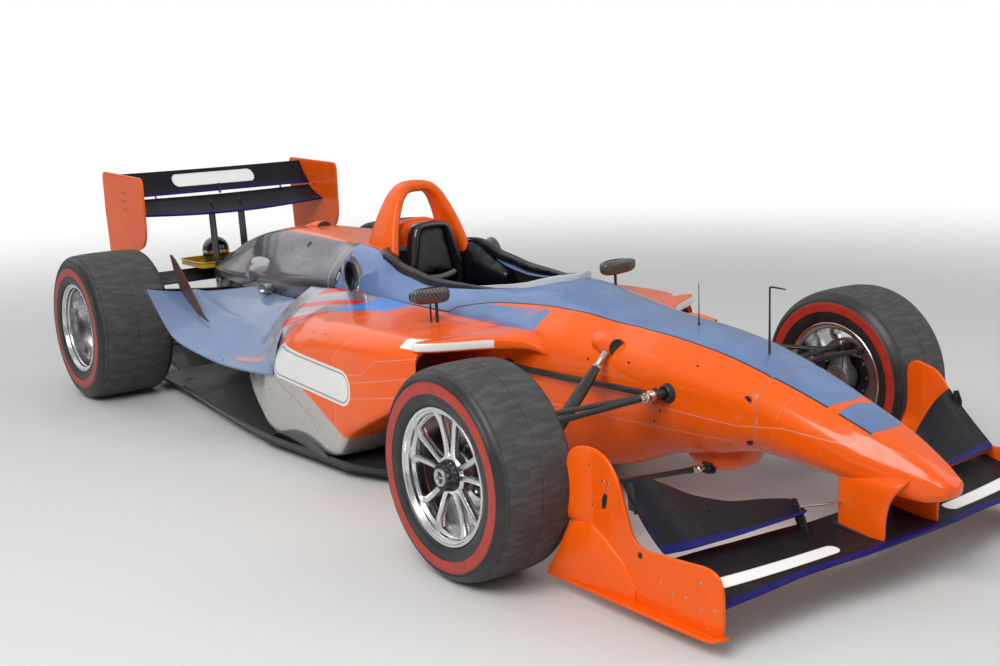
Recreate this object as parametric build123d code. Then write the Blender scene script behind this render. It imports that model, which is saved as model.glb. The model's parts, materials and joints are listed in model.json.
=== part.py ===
from build123d import *
import os
from math import sqrt

# Open wheel racing car, in millimetres.
# +X points forward, +Y to the car's left, +Z up, origin on the ground under the middle of the car.

# Overall sizes
wheelbase = 3060.0
front_overhang = 1044.5
rear_overhang = 690.5
overall_width = 1994.0
overall_length = front_overhang + wheelbase + rear_overhang
nose_tip_x = overall_length / 2
front_axle_x = nose_tip_x - front_overhang
rear_axle_x = front_axle_x - wheelbase

# Gaps and fits
seat_gap = 0.3
running_fit = 0.05
eye_play = 5.0

# Wheels and tyres
front_tyre_radius = 324.0
front_tyre_width = 270.0
rear_tyre_radius = 343.0
rear_tyre_width = 360.0
rim_radius = 191.0
rim_wall = 8.0
flange_height = 17.0
flange_inset = 9.0
flange_width = 9.0
spoke_count = 5
spindle_radius = 32.0
hub_radius = 62.0
hub_bore_radius = 36.0
disc_radius = rim_radius - 52.0
disc_thickness = 28.0
driveshaft_radius = 17.0

# Front suspension, places ahead of the front axle
kingpin_y = 790.0
kingpin_radius = 11.0
upper_joint_z = front_tyre_radius + rim_radius - 75.0
lower_joint_z = front_tyre_radius - rim_radius + 62.0
arm_stem = 95.0
steering_arm = 85.0
steering_arm_z = upper_joint_z - 24.0
front_upper_pickups = ((120.0, 462.0), (-564.0, 461.0))
front_lower_pickups = ((200.0, 210.0), (-420.0, 190.0))
pushrod_top = (-110.0, 255.0, 560.0)
rack_ahead = 150.0
rack_z = front_tyre_radius + 146.0
rack_radius = 14.0
disc_gap = 5.0
caliper_width = 18.0

# Rear suspension, places ahead of the rear axle
rear_joint_y = 700.0
rear_upper_joint_z = rear_tyre_radius + rim_radius - 60.0
rear_lower_joint_z = rear_tyre_radius - rim_radius + 60.0
rear_upper_pickups = ((330.0, 400.0), (-180.0, 400.0))
rear_lower_pickups = ((330.0, 185.0), (-180.0, 195.0))

# Tail
tail_ahead = -420.0
socket_radius = 20.0
socket_depth = 60.0
socket_z = 320.0
jack_bar_radius = 12.0
jack_bar_half = 155.0
jack_collar_radius = 18.0
jack_collar_half = 95.0
jack_bar_ahead = -380.0
jack_bar_z = 360.0

# Tub and cockpit
tub_wall = 38.0
tub_nose_ahead = 470.0
tub_rear_ahead = -1720.0
cockpit_front_ahead = -720.0
cockpit_rear_ahead = -1532.0
cockpit_half_width = 225.0
bulkhead_ahead = -690.0
bulkhead_thickness = 20.0
keel_half = 105.0
keel_z = 188.0
column_radius = 11.0
column_end_ahead = 100.0
column_end_z = 492.0
hand_wheel_radius = 140.0
hand_wheel_ahead = -850.0
hand_wheel_z = 600.0

# Wings
front_wing_half_span = 732.0
endplate_thickness = 10.0
rear_wing_half_span = 540.0
rear_endplate_thickness = 10.0
wing_tail_thickness = 4.0

# Engine
engine_length = 560.0
engine_width = 420.0
engine_height = 400.0

# Floor
floor_low = 32.0
floor_thickness = 16.0
tub_floor_z = floor_low + floor_thickness + seat_gap

os.makedirs("parts", exist_ok=True)


def ahead_of_front(distance):
    return front_axle_x + distance


def ahead_of_rear(distance):
    return rear_axle_x + distance


def save(name, shape):
    export_step(shape, f"parts/{name}.step")


def between(table, distance, column):
    # The value of a column of a station table at a distance, straight between stations.
    for first, second in zip(table, table[1:]):
        low, high = sorted((first[0], second[0]))
        if low <= distance <= high:
            share = (distance - first[0]) / (second[0] - first[0])
            return first[column] + share * (second[column] - first[column])
    nearest = min(table, key=lambda row: abs(row[0] - distance))
    return nearest[column]


def rounded_face(plane, points, radius):
    return plane * make_face(FilletPolyline(*points, radius=radius, close=True))


def cross_plane(x):
    return Plane(origin=(x, 0, 0), x_dir=(0, 1, 0), z_dir=(1, 0, 0))


def side_plane(y):
    return Plane(origin=(0, y, 0), x_dir=(1, 0, 0), z_dir=(0, -1, 0))


def plan_plane(z):
    return Plane(origin=(0, 0, z))


def shell_section(x, half_low, half_high, low, high, radius_low, radius_high):
    points = [(half_low, low), (half_high, high), (-half_high, high), (-half_low, low)]
    radii = [radius_low, radius_high, radius_high, radius_low]
    return rounded_face(cross_plane(x), points, radii)


def body_section(x, half, low, shoulder, top_half, top, radius_low, radius_high):
    side = [(half, low), (half, shoulder), (top_half, top)]
    points = side + [(-y, z) for y, z in reversed(side)]
    radii = [radius_low, radius_high, radius_high] * 2
    radii[3:] = reversed(radii[:3])
    return rounded_face(cross_plane(x), points, radii)


def side_plate(points, radius, y, thickness):
    # A plate parallel to the car's side, its middle plane at y.
    return extrude(rounded_face(side_plane(y), points, radius), thickness / 2, both=True)


def plan_plate(points, radius, low, thickness):
    return extrude(rounded_face(plan_plane(low), points, radius), thickness, dir=(0, 0, 1))


def rod(start, end, radius):
    start, end = Vector(*start), Vector(*end)
    return extrude(Plane(origin=start, z_dir=end - start) * Circle(radius), (end - start).length)


def blade(start, end, chord, thickness):
    # A streamlined arm, its chord lying along the car.
    start, end = Vector(*start), Vector(*end)
    plane = Plane(origin=start, x_dir=(1, 0, 0), z_dir=end - start)
    return extrude(plane * SlotOverall(chord, thickness), (end - start).length)


def largest(shape):
    return max(shape.solids(), key=lambda solid: solid.volume)


def mirrored(shape):
    return mirror(shape, about=Plane.XZ)


def wing_section(y, nose, tail, thickness, bow):
    # A wing profile across the car at y: a round nose, two arcs and a blunt tail.
    # bow is how far the middle line hangs below the straight chord.
    nose_x, nose_z = nose
    run_x, run_z = tail[0] - nose_x, tail[1] - nose_z
    chord = sqrt(run_x**2 + run_z**2)
    along = (run_x / chord, run_z / chord)
    up = (run_z / chord, -run_x / chord)
    nose_radius = thickness * 0.3

    def place(distance, height):
        return (
            nose_x + along[0] * distance + up[0] * height,
            y,
            nose_z + along[1] * distance + up[1] * height,
        )

    nose_low, nose_high = place(nose_radius, -nose_radius), place(nose_radius, nose_radius)
    tail_low, tail_high = place(chord, 0), place(chord, wing_tail_thickness)
    edges = [
        ThreePointArc(nose_low, place(0, 0), nose_high),
        ThreePointArc(nose_high, place(chord * 0.45, thickness / 2 - bow), tail_high),
        Line(tail_high, tail_low),
        ThreePointArc(tail_low, place(chord * 0.45, -thickness / 2 - bow), nose_low),
    ]
    return Face(Wire(edges))


# Tub: outline corners at stations ahead of the front axle
TUB = [
    # ahead, half width, low, shoulder height, half width of the top, top height
    (tub_nose_ahead, 178.0, 318.0, 508.0, 110.0, 562.0),
    (247.0, 215.0, 269.0, 546.0, 115.0, 606.0),
    (87.0, 232.0, 237.0, 562.0, 118.0, 627.0),
    (-133.0, 255.0, 150.0, 570.0, 114.0, 643.0),
    (-368.0, 298.0, 95.0, 590.0, 110.0, 682.0),
    (-553.0, 305.0, 62.0, 616.0, 118.0, 722.0),
    (-733.0, 312.0, tub_floor_z, 635.0, 200.0, 694.0),
    (-1120.0, 328.0, tub_floor_z, 615.0, 275.0, 640.0),
    (-1433.0, 336.0, tub_floor_z, 640.0, 285.0, 715.0),
    (-1540.0, 339.0, tub_floor_z, 640.0, 262.0, 762.0),
    (tub_rear_ahead, 342.0, tub_floor_z, 640.0, 225.0, 780.0),
]
HALF, LOW, SHOULDER, TOP_HALF, TOP = 1, 2, 3, 4, 5


def tub_side(distance):
    return between(TUB, distance, HALF)


def tub_top(distance):
    return between(TUB, distance, TOP)


def column_axis():
    centre = Vector(ahead_of_front(hand_wheel_ahead), 0, hand_wheel_z)
    lower = Vector(ahead_of_front(column_end_ahead), 0, column_end_z)
    return centre, lower


def tub():
    outer = [body_section(ahead_of_front(row[0]), *row[1:], 35, 28) for row in TUB]
    ends = (tub_nose_ahead - tub_wall, tub_rear_ahead + tub_wall)
    places = [ends[0]] + [row[0] for row in TUB[1:-1]] + [ends[1]]
    inner = [
        body_section(
            ahead_of_front(a),
            between(TUB, a, HALF) - tub_wall,
            between(TUB, a, LOW) + tub_wall,
            between(TUB, a, SHOULDER) - tub_wall * 0.4,
            between(TUB, a, TOP_HALF) - tub_wall * 0.4,
            between(TUB, a, TOP) - tub_wall,
            20,
            12,
        )
        for a in places
    ]
    shell = loft(outer, ruled=True) - loft(inner, ruled=True)
    mouth = [
        (cockpit_front_ahead, 150.0),
        (-1080.0, cockpit_half_width),
        (-1400.0, cockpit_half_width),
        (-1470.0, 140.0),
        (cockpit_rear_ahead, 132.0),
    ]
    mouth = [(ahead_of_front(a), y) for a, y in mouth]
    outline = mouth + [(x, -y) for x, y in reversed(mouth)]
    shell -= plan_plate(outline, [40, 60, 50, 20, 12, 12, 20, 50, 60, 40], 500, 400)
    # The bulkhead that carries the steering column, over the driver's legs
    bulkhead = Pos(ahead_of_front(bulkhead_ahead), 0, 570) * Box(bulkhead_thickness, 560, 160)
    wall_block = loft(outer, ruled=True) & bulkhead
    shell += wall_block
    centre, lower = column_axis()
    shell -= rod(centre, lower, column_radius + running_fit)
    # The keel under the nose end that carries the lower wishbones' front arms
    keel = [(ahead_of_front(a), y) for a, y in ((150, 70), (165, keel_half), (235, keel_half), (285, 45))]
    keel_outline = keel + [(x, -y) for x, y in reversed(keel)]
    shell += plan_plate(keel_outline, 20, keel_z, 295.0 - keel_z)
    x = ahead_of_front(rack_ahead)
    return shell - rod((x, -400, rack_z), (x, 400, rack_z), rack_radius + running_fit)


def nose_cone():
    # ahead, half width, low, high, corner radius
    stations = [
        (tub_nose_ahead, 178.0, 318.0, 562.0, 42.0),
        (667.0, 150.0, 305.0, 500.0, 40.0),
        (847.0, 116.0, 288.0, 428.0, 38.0),
        (967.0, 82.0, 274.0, 372.0, 32.0),
        (1020.0, 55.0, 280.0, 352.0, 26.0),
        (front_overhang, 24.0, 300.0, 336.0, 14.0),
    ]
    faces = [
        shell_section(ahead_of_front(ahead), half, half, low, high, radius, radius)
        for ahead, half, low, high, radius in stations
    ]
    return loft(faces, ruled=True)


# Front wing: span place, nose place and tail place, x ahead of the front axle
FRONT_MAIN = [
    # y, nose ahead, nose z, tail ahead, tail z
    (0.0, 927.0, 152.0, 690.0, 172.0),
    (200.0, 911.0, 156.0, 680.0, 176.0),
    (450.0, 882.0, 138.0, 660.0, 178.0),
    (front_wing_half_span, 885.0, 130.0, 640.0, 180.0),
]
FRONT_FLAP = [
    # y, nose ahead, nose z, tail ahead, tail z
    (232.0, 725.0, 228.0, 667.0, 252.0),
    (400.0, 715.0, 222.0, 599.0, 266.0),
    (500.0, 705.0, 216.0, 545.0, 292.0),
    (640.0, 690.0, 214.0, 522.0, 372.0),
    (front_wing_half_span, 670.0, 212.0, 497.0, 378.0),
]


def span_faces(table, thickness, bow, place):
    return [
        wing_section(y, (place(nose), nose_z), (place(tail), tail_z), thickness, bow)
        for y, nose, nose_z, tail, tail_z in table
    ]


def front_wing_main():
    half = loft(span_faces(FRONT_MAIN, 24.0, 14.0, ahead_of_front), ruled=True)
    return half + mirrored(half)


def front_wing_flap():
    return loft(span_faces(FRONT_FLAP, 14.0, 10.0, ahead_of_front), ruled=True)


def front_endplate():
    # ahead, z, corner radius
    corners = [
        (345.0, 405.0, 10.0),
        (372.0, 444.0, 14.0),
        (429.0, 415.0, 20.0),
        (474.0, 377.0, 20.0),
        (518.0, 292.0, 40.0),
        (583.0, 206.0, 30.0),
        (754.0, 228.0, 20.0),
        (873.0, 214.0, 12.0),
        (884.0, 143.0, 10.0),
        (884.0, 66.0, 8.0),
        (557.0, 40.0, 0.0),
        (240.0, 40.0, 6.0),
        (300.0, 180.0, 30.0),
    ]
    points = [(ahead_of_front(ahead), z) for ahead, z, _ in corners]
    radii = [radius for _, _, radius in corners]
    middle = front_wing_half_span + endplate_thickness / 2
    plate = side_plate(points, radii, middle, endplate_thickness)
    outer = front_wing_half_span + endplate_thickness
    foot_points = [
        (ahead_of_front(905.0), outer - 2),
        (ahead_of_front(890.0), outer + 36),
        (ahead_of_front(300.0), outer + 36),
        (ahead_of_front(250.0), outer - 2),
    ]
    foot = plan_plate(foot_points, [2, 20, 20, 2], 40, 8)
    return plate + foot


def nose_pylon():
    pylon_outer, pylon_thickness = 129.0, 24.0
    points = [
        (ahead_of_front(740.0), 130.0),
        (ahead_of_front(900.0), 130.0),
        (ahead_of_front(901.0), 330.0),
        (ahead_of_front(700.0), 360.0),
    ]
    return side_plate(points, 6, pylon_outer - pylon_thickness / 2, pylon_thickness)


# Cockpit
def cockpit_surround():
    # A padded rim along both sides of the opening, standing on the tub's top.
    # ahead, top height above the tub's top
    rise = [(-760.0, 6.0), (-1120.0, 30.0), (-1433.0, 34.0), (-1530.0, 8.0)]
    foot = [row[0] for row in TUB if -1530.0 < row[0] < -760.0]
    low_line = [-760.0] + foot + [-1530.0]
    low = [(ahead_of_front(a), tub_top(a) + seat_gap) for a in low_line]
    high = [(ahead_of_front(a), tub_top(a) + h) for a, h in reversed(rise)]
    slab = extrude(side_plane(0) * make_face(Polyline(*low, *high, close=True)), 300, both=True)
    outer = [
        (ahead_of_front(-750.0), 190.0),
        (ahead_of_front(-1080.0), cockpit_half_width + 34),
        (ahead_of_front(-1433.0), cockpit_half_width + 38),
        (ahead_of_front(-1580.0), cockpit_half_width + 4),
    ]
    inner = [
        (ahead_of_front(-1580.0), 180.0),
        (ahead_of_front(-1400.0), cockpit_half_width + 2),
        (ahead_of_front(-1080.0), cockpit_half_width + 2),
        (ahead_of_front(-750.0), 168.0),
    ]
    ring = extrude(plan_plane(500) * make_face(Polyline(*outer, *inner, close=True)), 500, dir=(0, 0, 1))
    side = slab & ring
    return [side, mirrored(side)]


def headrest():
    # The pad in front of the roll hoop, leaning back and narrower at the top
    back = ahead_of_front(cockpit_rear_ahead) + seat_gap
    points = [
        (back, 520.0),
        (back + 60, 520.0),
        (back + 62, 700.0),
        (back + 44, 858.0),
        (back + 12, 862.0),
        (back, 800.0),
    ]
    front = [(118.0, 500.0), (112.0, 740.0), (72.0, 880.0), (-72.0, 880.0), (-112.0, 740.0), (-118.0, 500.0)]
    front_face = cross_plane(back - 50) * make_face(Polyline(*front, close=True))
    outline = extrude(front_face, 200, dir=(1, 0, 0))
    return side_plate(points, [4, 10, 30, 14, 10, 4], 0, 300) & outline


def seat():
    # ahead, z: the padded shell under and behind the driver's place
    points = [
        (ahead_of_front(-1500.0), 470.0),
        (ahead_of_front(-1440.0), 470.0),
        (ahead_of_front(-1290.0), 180.0),
        (ahead_of_front(-1000.0), 140.0),
        (ahead_of_front(-820.0), 190.0),
        (ahead_of_front(-800.0), 160.0),
        (ahead_of_front(-980.0), tub_floor_z + tub_wall + seat_gap),
        (ahead_of_front(-1400.0), tub_floor_z + tub_wall + seat_gap),
    ]
    return side_plate(points, [15, 15, 60, 60, 12, 12, 40, 60], 0, 400)


def roll_hoop():
    # A wide flat hoop: corners seen from the front, outer then inner
    foot_z, crown_z = 720.0, 1031.0
    outer = [(205.0, foot_z), (118.0, 950.0), (62.0, crown_z)]
    inner = [(152.0, foot_z), (74.0, 940.0), (38.0, 985.0)]
    outline = outer + [(-y, z) for y, z in reversed(outer)]
    outline += [(-y, z) for y, z in inner] + list(reversed(inner))
    radii = [3, 60, 40, 40, 60, 3, 3, 50, 25, 25, 50, 3]
    front_view = rounded_face(cross_plane(ahead_of_front(-1750.0)), outline, radii)
    arch = extrude(front_view, 300, dir=(1, 0, 0))
    # Seen from the side: wide feet narrowing to the crown
    side = [
        (ahead_of_front(-1700.0), foot_z - 10),
        (ahead_of_front(-1482.0), foot_z - 10),
        (ahead_of_front(-1545.0), 940.0),
        (ahead_of_front(-1560.0), crown_z + 10),
        (ahead_of_front(-1640.0), crown_z + 10),
        (ahead_of_front(-1655.0), 940.0),
    ]
    return arch & side_plate(side, [2, 2, 40, 5, 5, 60], 0, 600)


# Engine cover: outline corners at stations ahead of the rear axle
COVER = [
    # ahead, half width, low, waist height, half width of the top, top height
    (wheelbase + tub_rear_ahead - seat_gap, 342.0, 420.0, 640.0, 225.0, 780.0),
    (1124.0, 338.0, 430.0, 612.0, 160.0, 772.0),
    (600.0, 300.0, 460.0, 560.0, 110.0, 770.0),
    (240.0, 265.0, 490.0, 532.0, 88.0, 722.0),
    (0.0, 235.0, 500.0, 525.0, 75.0, 668.0),
    (-230.0, 170.0, 480.0, 505.0, 58.0, 588.0),
]
cover_wall = 10.0


def engine_cover():
    outer = [body_section(ahead_of_rear(row[0]), *row[1:], 4, 28) for row in COVER]
    inner = [
        body_section(
            ahead_of_rear(a), half - cover_wall, low - 30, waist - 5, top_half - 5, top - cover_wall, 2, 20
        )
        for a, half, low, waist, top_half, top in COVER
    ]
    return loft(outer, ruled=True) - loft(inner, ruled=True)


# Sidepod: outline corners at stations ahead of the front axle
SIDEPOD = [
    # ahead, outer y, low, side top, shoulder y, shoulder z, inner z
    (-650.0, 655.0, 370.0, 530.0, 600.0, 575.0, 596.0),
    (-980.0, 700.0, 200.0, 525.0, 640.0, 574.0, 606.0),
    (-1170.0, 700.0, 66.0, 512.0, 638.0, 568.0, 608.0),
    (-1353.0, 700.0, tub_floor_z, 470.0, 620.0, 550.0, 612.0),
    (-1590.0, 700.0, tub_floor_z, 385.0, 590.0, 515.0, 618.0),
    (-1770.0, 695.0, 120.0, 330.0, 530.0, 480.0, 600.0),
    (-1930.0, 660.0, 230.0, 312.0, 460.0, 462.0, 585.0),
]
pod_wall = 24.0


def pod_inner_y(ahead):
    if ahead > tub_rear_ahead:
        return tub_side(ahead) + seat_gap
    return max(tub_side(tub_rear_ahead), between(COVER, ahead + wheelbase, HALF)) + seat_gap


def pod_section(x, inner, outer, low, side_top, shoulder_y, shoulder_z, inner_z, radii):
    points = [(inner, low), (outer, low), (outer, side_top), (shoulder_y, shoulder_z), (inner, inner_z)]
    return rounded_face(cross_plane(x), points, radii)


def sidepod():
    first, last = SIDEPOD[0][0], SIDEPOD[-1][0]
    places = {row[0] for row in SIDEPOD} | {row[0] for row in TUB if last < row[0] < first}
    outer, inner = [], []
    for ahead in sorted(places, reverse=True):
        shape = [between(SIDEPOD, ahead, column) for column in range(1, 7)]
        outer.append(pod_section(ahead_of_front(ahead), pod_inner_y(ahead), *shape, [2, 24, 50, 40, 2]))
    # The duct from the inlet back to the radiator
    for ahead, out, low, side_top, shoulder_y, shoulder_z, inner_z in SIDEPOD[:3]:
        mouth = 1.0 if ahead == first else 0.0
        inner.append(
            pod_section(
                ahead_of_front(ahead + mouth),
                pod_inner_y(ahead) + 26,
                out - pod_wall,
                low + pod_wall,
                side_top - 30,
                shoulder_y - 20,
                shoulder_z - 55,
                inner_z - 60,
                [5, 20, 40, 30, 5],
            )
        )
    return loft(outer, ruled=True) - loft(inner, ruled=True)


def wheel_fairing():
    # A thin ramp from the sidepod's flank up to the rear wheel, with an upright fin
    # ahead of the rear axle, outer y, inner z, outer z
    joint = wheelbase + SIDEPOD[-1][0] - seat_gap
    stations = [
        (joint, 775.0, 478.0, 322.0),
        (1000.0, 800.0, 465.0, 340.0),
        (800.0, 850.0, 468.0, 405.0),
        (560.0, 850.0, 512.0, 575.0),
    ]
    thickness = 12.0
    faces = []
    for ahead, outer, inner_z, outer_z in stations:
        inner = between(COVER, ahead, HALF) + seat_gap
        low = [(inner, inner_z), (outer, outer_z)]
        points = low + [(y, z + thickness) for y, z in reversed(low)]
        faces.append(cross_plane(ahead_of_rear(ahead)) * make_face(Polyline(*points, close=True)))
    deck = loft(faces, ruled=True)
    # The strip beside the sidepod's flank: ahead of the front axle, inner y, outer y, height
    flank_rows = [(-1600.0, 712.0, 312.0), (-1760.0, 745.0, 314.0), (SIDEPOD[-1][0], 775.0, 322.0)]
    flank = []
    for ahead, outer, height in flank_rows:
        inner = between(SIDEPOD, ahead, 1) - 20
        low = [(inner, height), (outer, height)]
        points = low + [(y, z + thickness) for y, z in reversed(low)]
        plane = cross_plane(ahead_of_front(ahead) - seat_gap)
        flank.append(plane * make_face(Polyline(*points, close=True)))
    strip = loft(flank, ruled=True)
    fin = [(830.0, 440.0), (470.0, 705.0), (500.0, 600.0), (580.0, 480.0)]
    fin_plate = side_plate([(ahead_of_rear(a), z) for a, z in fin], [4, 20, 10, 4], 690.0, 6.0)
    return deck + strip + largest(fin_plate - deck)


def undertray():
    # ahead of front, y
    edge = [
        (-500.0, 200.0),
        (-760.0, 560.0),
        (-1080.0, 690.0),
        (-1290.0, 703.0),
        (-1646.0, 728.0),
    ]
    rear_edge = [(340.0, 625.0), (-60.0, 600.0)]
    side = [(ahead_of_front(a), y) for a, y in edge] + [(ahead_of_rear(a), y) for a, y in rear_edge]
    outline = side + [(x, -y) for x, y in reversed(side)]
    floor = plan_plate(outline, 20, floor_low, floor_thickness)
    profile = [
        (ahead_of_rear(-60.0), floor_low),
        (ahead_of_rear(-500.0), 190.0),
        (ahead_of_rear(-500.0), 200.0),
        (ahead_of_rear(-60.0), floor_low + floor_thickness),
    ]
    ramp = extrude(side_plane(0) * make_face(Polyline(*profile, close=True)), 470, both=True)
    body = floor + ramp
    for strake_y in (-466.0, -160.0, 160.0, 466.0):
        strake = [
            (ahead_of_rear(-40.0), floor_low + 8),
            (ahead_of_rear(-500.0), 195.0),
            (ahead_of_rear(-520.0), 90.0),
        ]
        body += extrude(side_plane(strake_y) * make_face(Polyline(*strake, close=True)), 4, both=True)
    return body


def engine():
    x = ahead_of_front(tub_rear_ahead) - seat_gap - engine_length / 2
    return Pos(x, 0, tub_floor_z + engine_height / 2) * Box(engine_length, engine_width, engine_height)


GEARBOX_FRONT = wheelbase + tub_rear_ahead - engine_length - 2 * seat_gap


# Gearbox: outline at stations ahead of the rear axle
GEARBOX = [
    # ahead, half width, low, high, corner radius
    (GEARBOX_FRONT, 190.0, 60.0, 440.0, 30.0),
    (420.0, 130.0, 120.0, 445.0, 40.0),
    (-200.0, 110.0, 150.0, 445.0, 40.0),
    (tail_ahead, 80.0, 220.0, 430.0, 30.0),
]
output_half = 150.0
output_radius = 60.0


def gearbox_side(distance):
    return between(GEARBOX, distance, 1)


def gearbox():
    faces = [shell_section(ahead_of_rear(a), h, h, low, high, r, r) for a, h, low, high, r in GEARBOX]
    case = loft(faces, ruled=True)
    z = rear_tyre_radius
    output = rod((rear_axle_x, -output_half, z), (rear_axle_x, output_half, z), output_radius)
    # The starter's socket in the tail, and the bar that the rear jack lifts by
    open_end, closed_end = ahead_of_rear(tail_ahead - 5), ahead_of_rear(tail_ahead + socket_depth)
    socket = rod((open_end, 0, socket_z), (closed_end, 0, socket_z), socket_radius)
    bar_x = ahead_of_rear(jack_bar_ahead)
    bar = rod((bar_x, -jack_bar_half, jack_bar_z), (bar_x, jack_bar_half, jack_bar_z), jack_bar_radius)
    collar = rod((bar_x, -jack_collar_half, jack_bar_z), (bar_x, jack_collar_half, jack_bar_z), jack_collar_radius)
    return case + output + bar + collar - socket


# A shallow tray that reaches back from the gearbox's tail, with a dome on it
tray_front_ahead = -400.0
tray_rear_ahead = -682.0
tray_half = 165.0
tray_z = 486.0
tray_thickness = 6.0
tray_rim = 28.0
dome_ahead = -573.0
dome_radius = 72.0
dome_centre_z = 556.0


def gearbox_tray():
    front, rear = ahead_of_rear(tray_front_ahead), ahead_of_rear(tray_rear_ahead)
    corners = [(front, tray_half), (front, -tray_half), (rear, -tray_half), (rear, tray_half)]
    inset = 8.0
    mouth = [
        (front - inset, tray_half - inset),
        (front - inset, inset - tray_half),
        (rear + inset, inset - tray_half),
        (rear + inset, tray_half - inset),
    ]
    tray = plan_plate(corners, 30, tray_z, tray_rim)
    tray -= plan_plate(mouth, 24, tray_z + tray_thickness, tray_rim)
    # The post that carries it on the gearbox
    post_width, post_depth, post_low = 70.0, 90.0, 400.0
    post_x = front - post_depth / 2 + 60
    height = tray_z + 1 - post_low
    return tray + Pos(post_x, 0, post_low + height / 2) * Box(post_depth, post_width, height)


def gearbox_dome():
    x = ahead_of_rear(dome_ahead)
    low = tray_z + tray_thickness + seat_gap
    ball = Pos(x, 0, dome_centre_z) * Sphere(dome_radius)
    skirt_height = dome_centre_z - low
    skirt = Pos(x, 0, low + skirt_height / 2) * Cylinder(dome_radius, skirt_height)
    keep = Pos(x, 0, low + dome_radius * 1.5) * Box(3 * dome_radius, 3 * dome_radius, dome_radius * 3)
    return (ball + skirt) & keep


# Rear wing
REAR_MAIN = [
    # y, nose ahead, nose z, tail ahead, tail z
    (0.0, -300.0, 788.0, -470.0, 868.0),
    (300.0, -310.0, 796.0, -470.0, 870.0),
    (rear_wing_half_span, -323.0, 806.0, -470.0, 872.0),
]
REAR_FLAP = [
    # y, nose ahead, nose z, tail ahead, tail z
    (0.0, -463.0, 885.0, -568.0, 1000.0),
    (rear_wing_half_span, -463.0, 885.0, -568.0, 1004.0),
]
BEAM = [
    # y, nose ahead, nose z, tail ahead, tail z
    (0.0, -470.0, 418.0, -625.0, 462.0),
    (rear_wing_half_span, -470.0, 418.0, -625.0, 462.0),
]


def whole_span(table, thickness, bow):
    half = loft(span_faces(table, thickness, bow, ahead_of_rear), ruled=True)
    return half + mirrored(half)


def rear_endplate():
    # ahead of rear, z, radius
    corners = [
        (-161.0, 1005.0, 25.0),
        (-rear_overhang, 1019.0, 25.0),
        (-rear_overhang, 800.0, 60.0),
        (-650.0, 395.0, 20.0),
        (-430.0, 395.0, 30.0),
        (-360.0, 600.0, 60.0),
        (-200.0, 655.0, 40.0),
        (-161.0, 760.0, 40.0),
    ]
    points = [(ahead_of_rear(a), z) for a, z, _ in corners]
    radii = [r for *_, r in corners]
    middle = rear_wing_half_span + rear_endplate_thickness / 2
    return side_plate(points, radii, middle, rear_endplate_thickness)


def rear_wing_strut():
    # One of the two upright plates that carry the wing on the gearbox
    points = [
        (ahead_of_rear(-330.0), 405.0),
        (ahead_of_rear(-410.0), 405.0),
        (ahead_of_rear(-440.0), 840.0),
        (ahead_of_rear(-370.0), 840.0),
    ]
    return side_plate(points, 4, 84.0, 8.0)


def mirror_unit():
    x, y = ahead_of_front(-836.0), 447.0
    body = Pos(x, y, 692) * Box(60, 170, 62)
    body = fillet(body.edges(), 20)
    stalk = rod((x, y - 20, 580), (x, y - 20, 665), 8)
    return body + stalk


def antennas():
    whip_x, pitot_x = ahead_of_front(64.0), ahead_of_front(367.0)
    whip_z, pitot_z = tub_top(64.0) - 6, tub_top(367.0) - 6
    whip_foot, pitot_foot = (whip_x, 0, whip_z), (pitot_x, 0, pitot_z)
    whip = rod(whip_foot, (whip_x, 0, 777), 1.5) + rod(whip_foot, (whip_x, 0, whip_z + 14), 12)
    pitot = rod(pitot_foot, (pitot_x, 0, 801), 3)
    pitot += rod((pitot_x - 3, 0, 801), (pitot_x + 64, 0, 799), 3)
    return [whip, pitot]


# Wheels
def tyre(x, y, radius, width):
    # Half profile as (distance from the middle plane, radius)
    half = width / 2
    bead = half - flange_inset - flange_width - seat_gap
    bore = rim_radius + seat_gap
    lip = rim_radius + flange_height + seat_gap
    shoulder, rounding, crown = radius * 0.925, radius * 0.972, radius * 0.992
    bulge = half - 0.9

    def at(across, r):
        return (0, across, r)

    edges = [
        Line(at(-bead, bore), at(bead, bore)),
        Line(at(bead, bore), at(bead, lip + 4)),
        ThreePointArc(at(bead, lip + 4), at(bulge, (lip + shoulder) / 2), at(half * 0.95, shoulder)),
        ThreePointArc(at(half * 0.95, shoulder), at(half * 0.9, rounding), at(half * 0.8, crown)),
        ThreePointArc(at(half * 0.8, crown), at(0, radius), at(-half * 0.8, crown)),
        ThreePointArc(at(-half * 0.8, crown), at(-half * 0.9, rounding), at(-half * 0.95, shoulder)),
        ThreePointArc(at(-half * 0.95, shoulder), at(-bulge, (lip + shoulder) / 2), at(-bead, lip + 4)),
        Line(at(-bead, lip + 4), at(-bead, bore)),
    ]
    ring = revolve(Face(Wire(edges)), axis=Axis.Y)
    return Pos(x, y, radius) * ring


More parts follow.
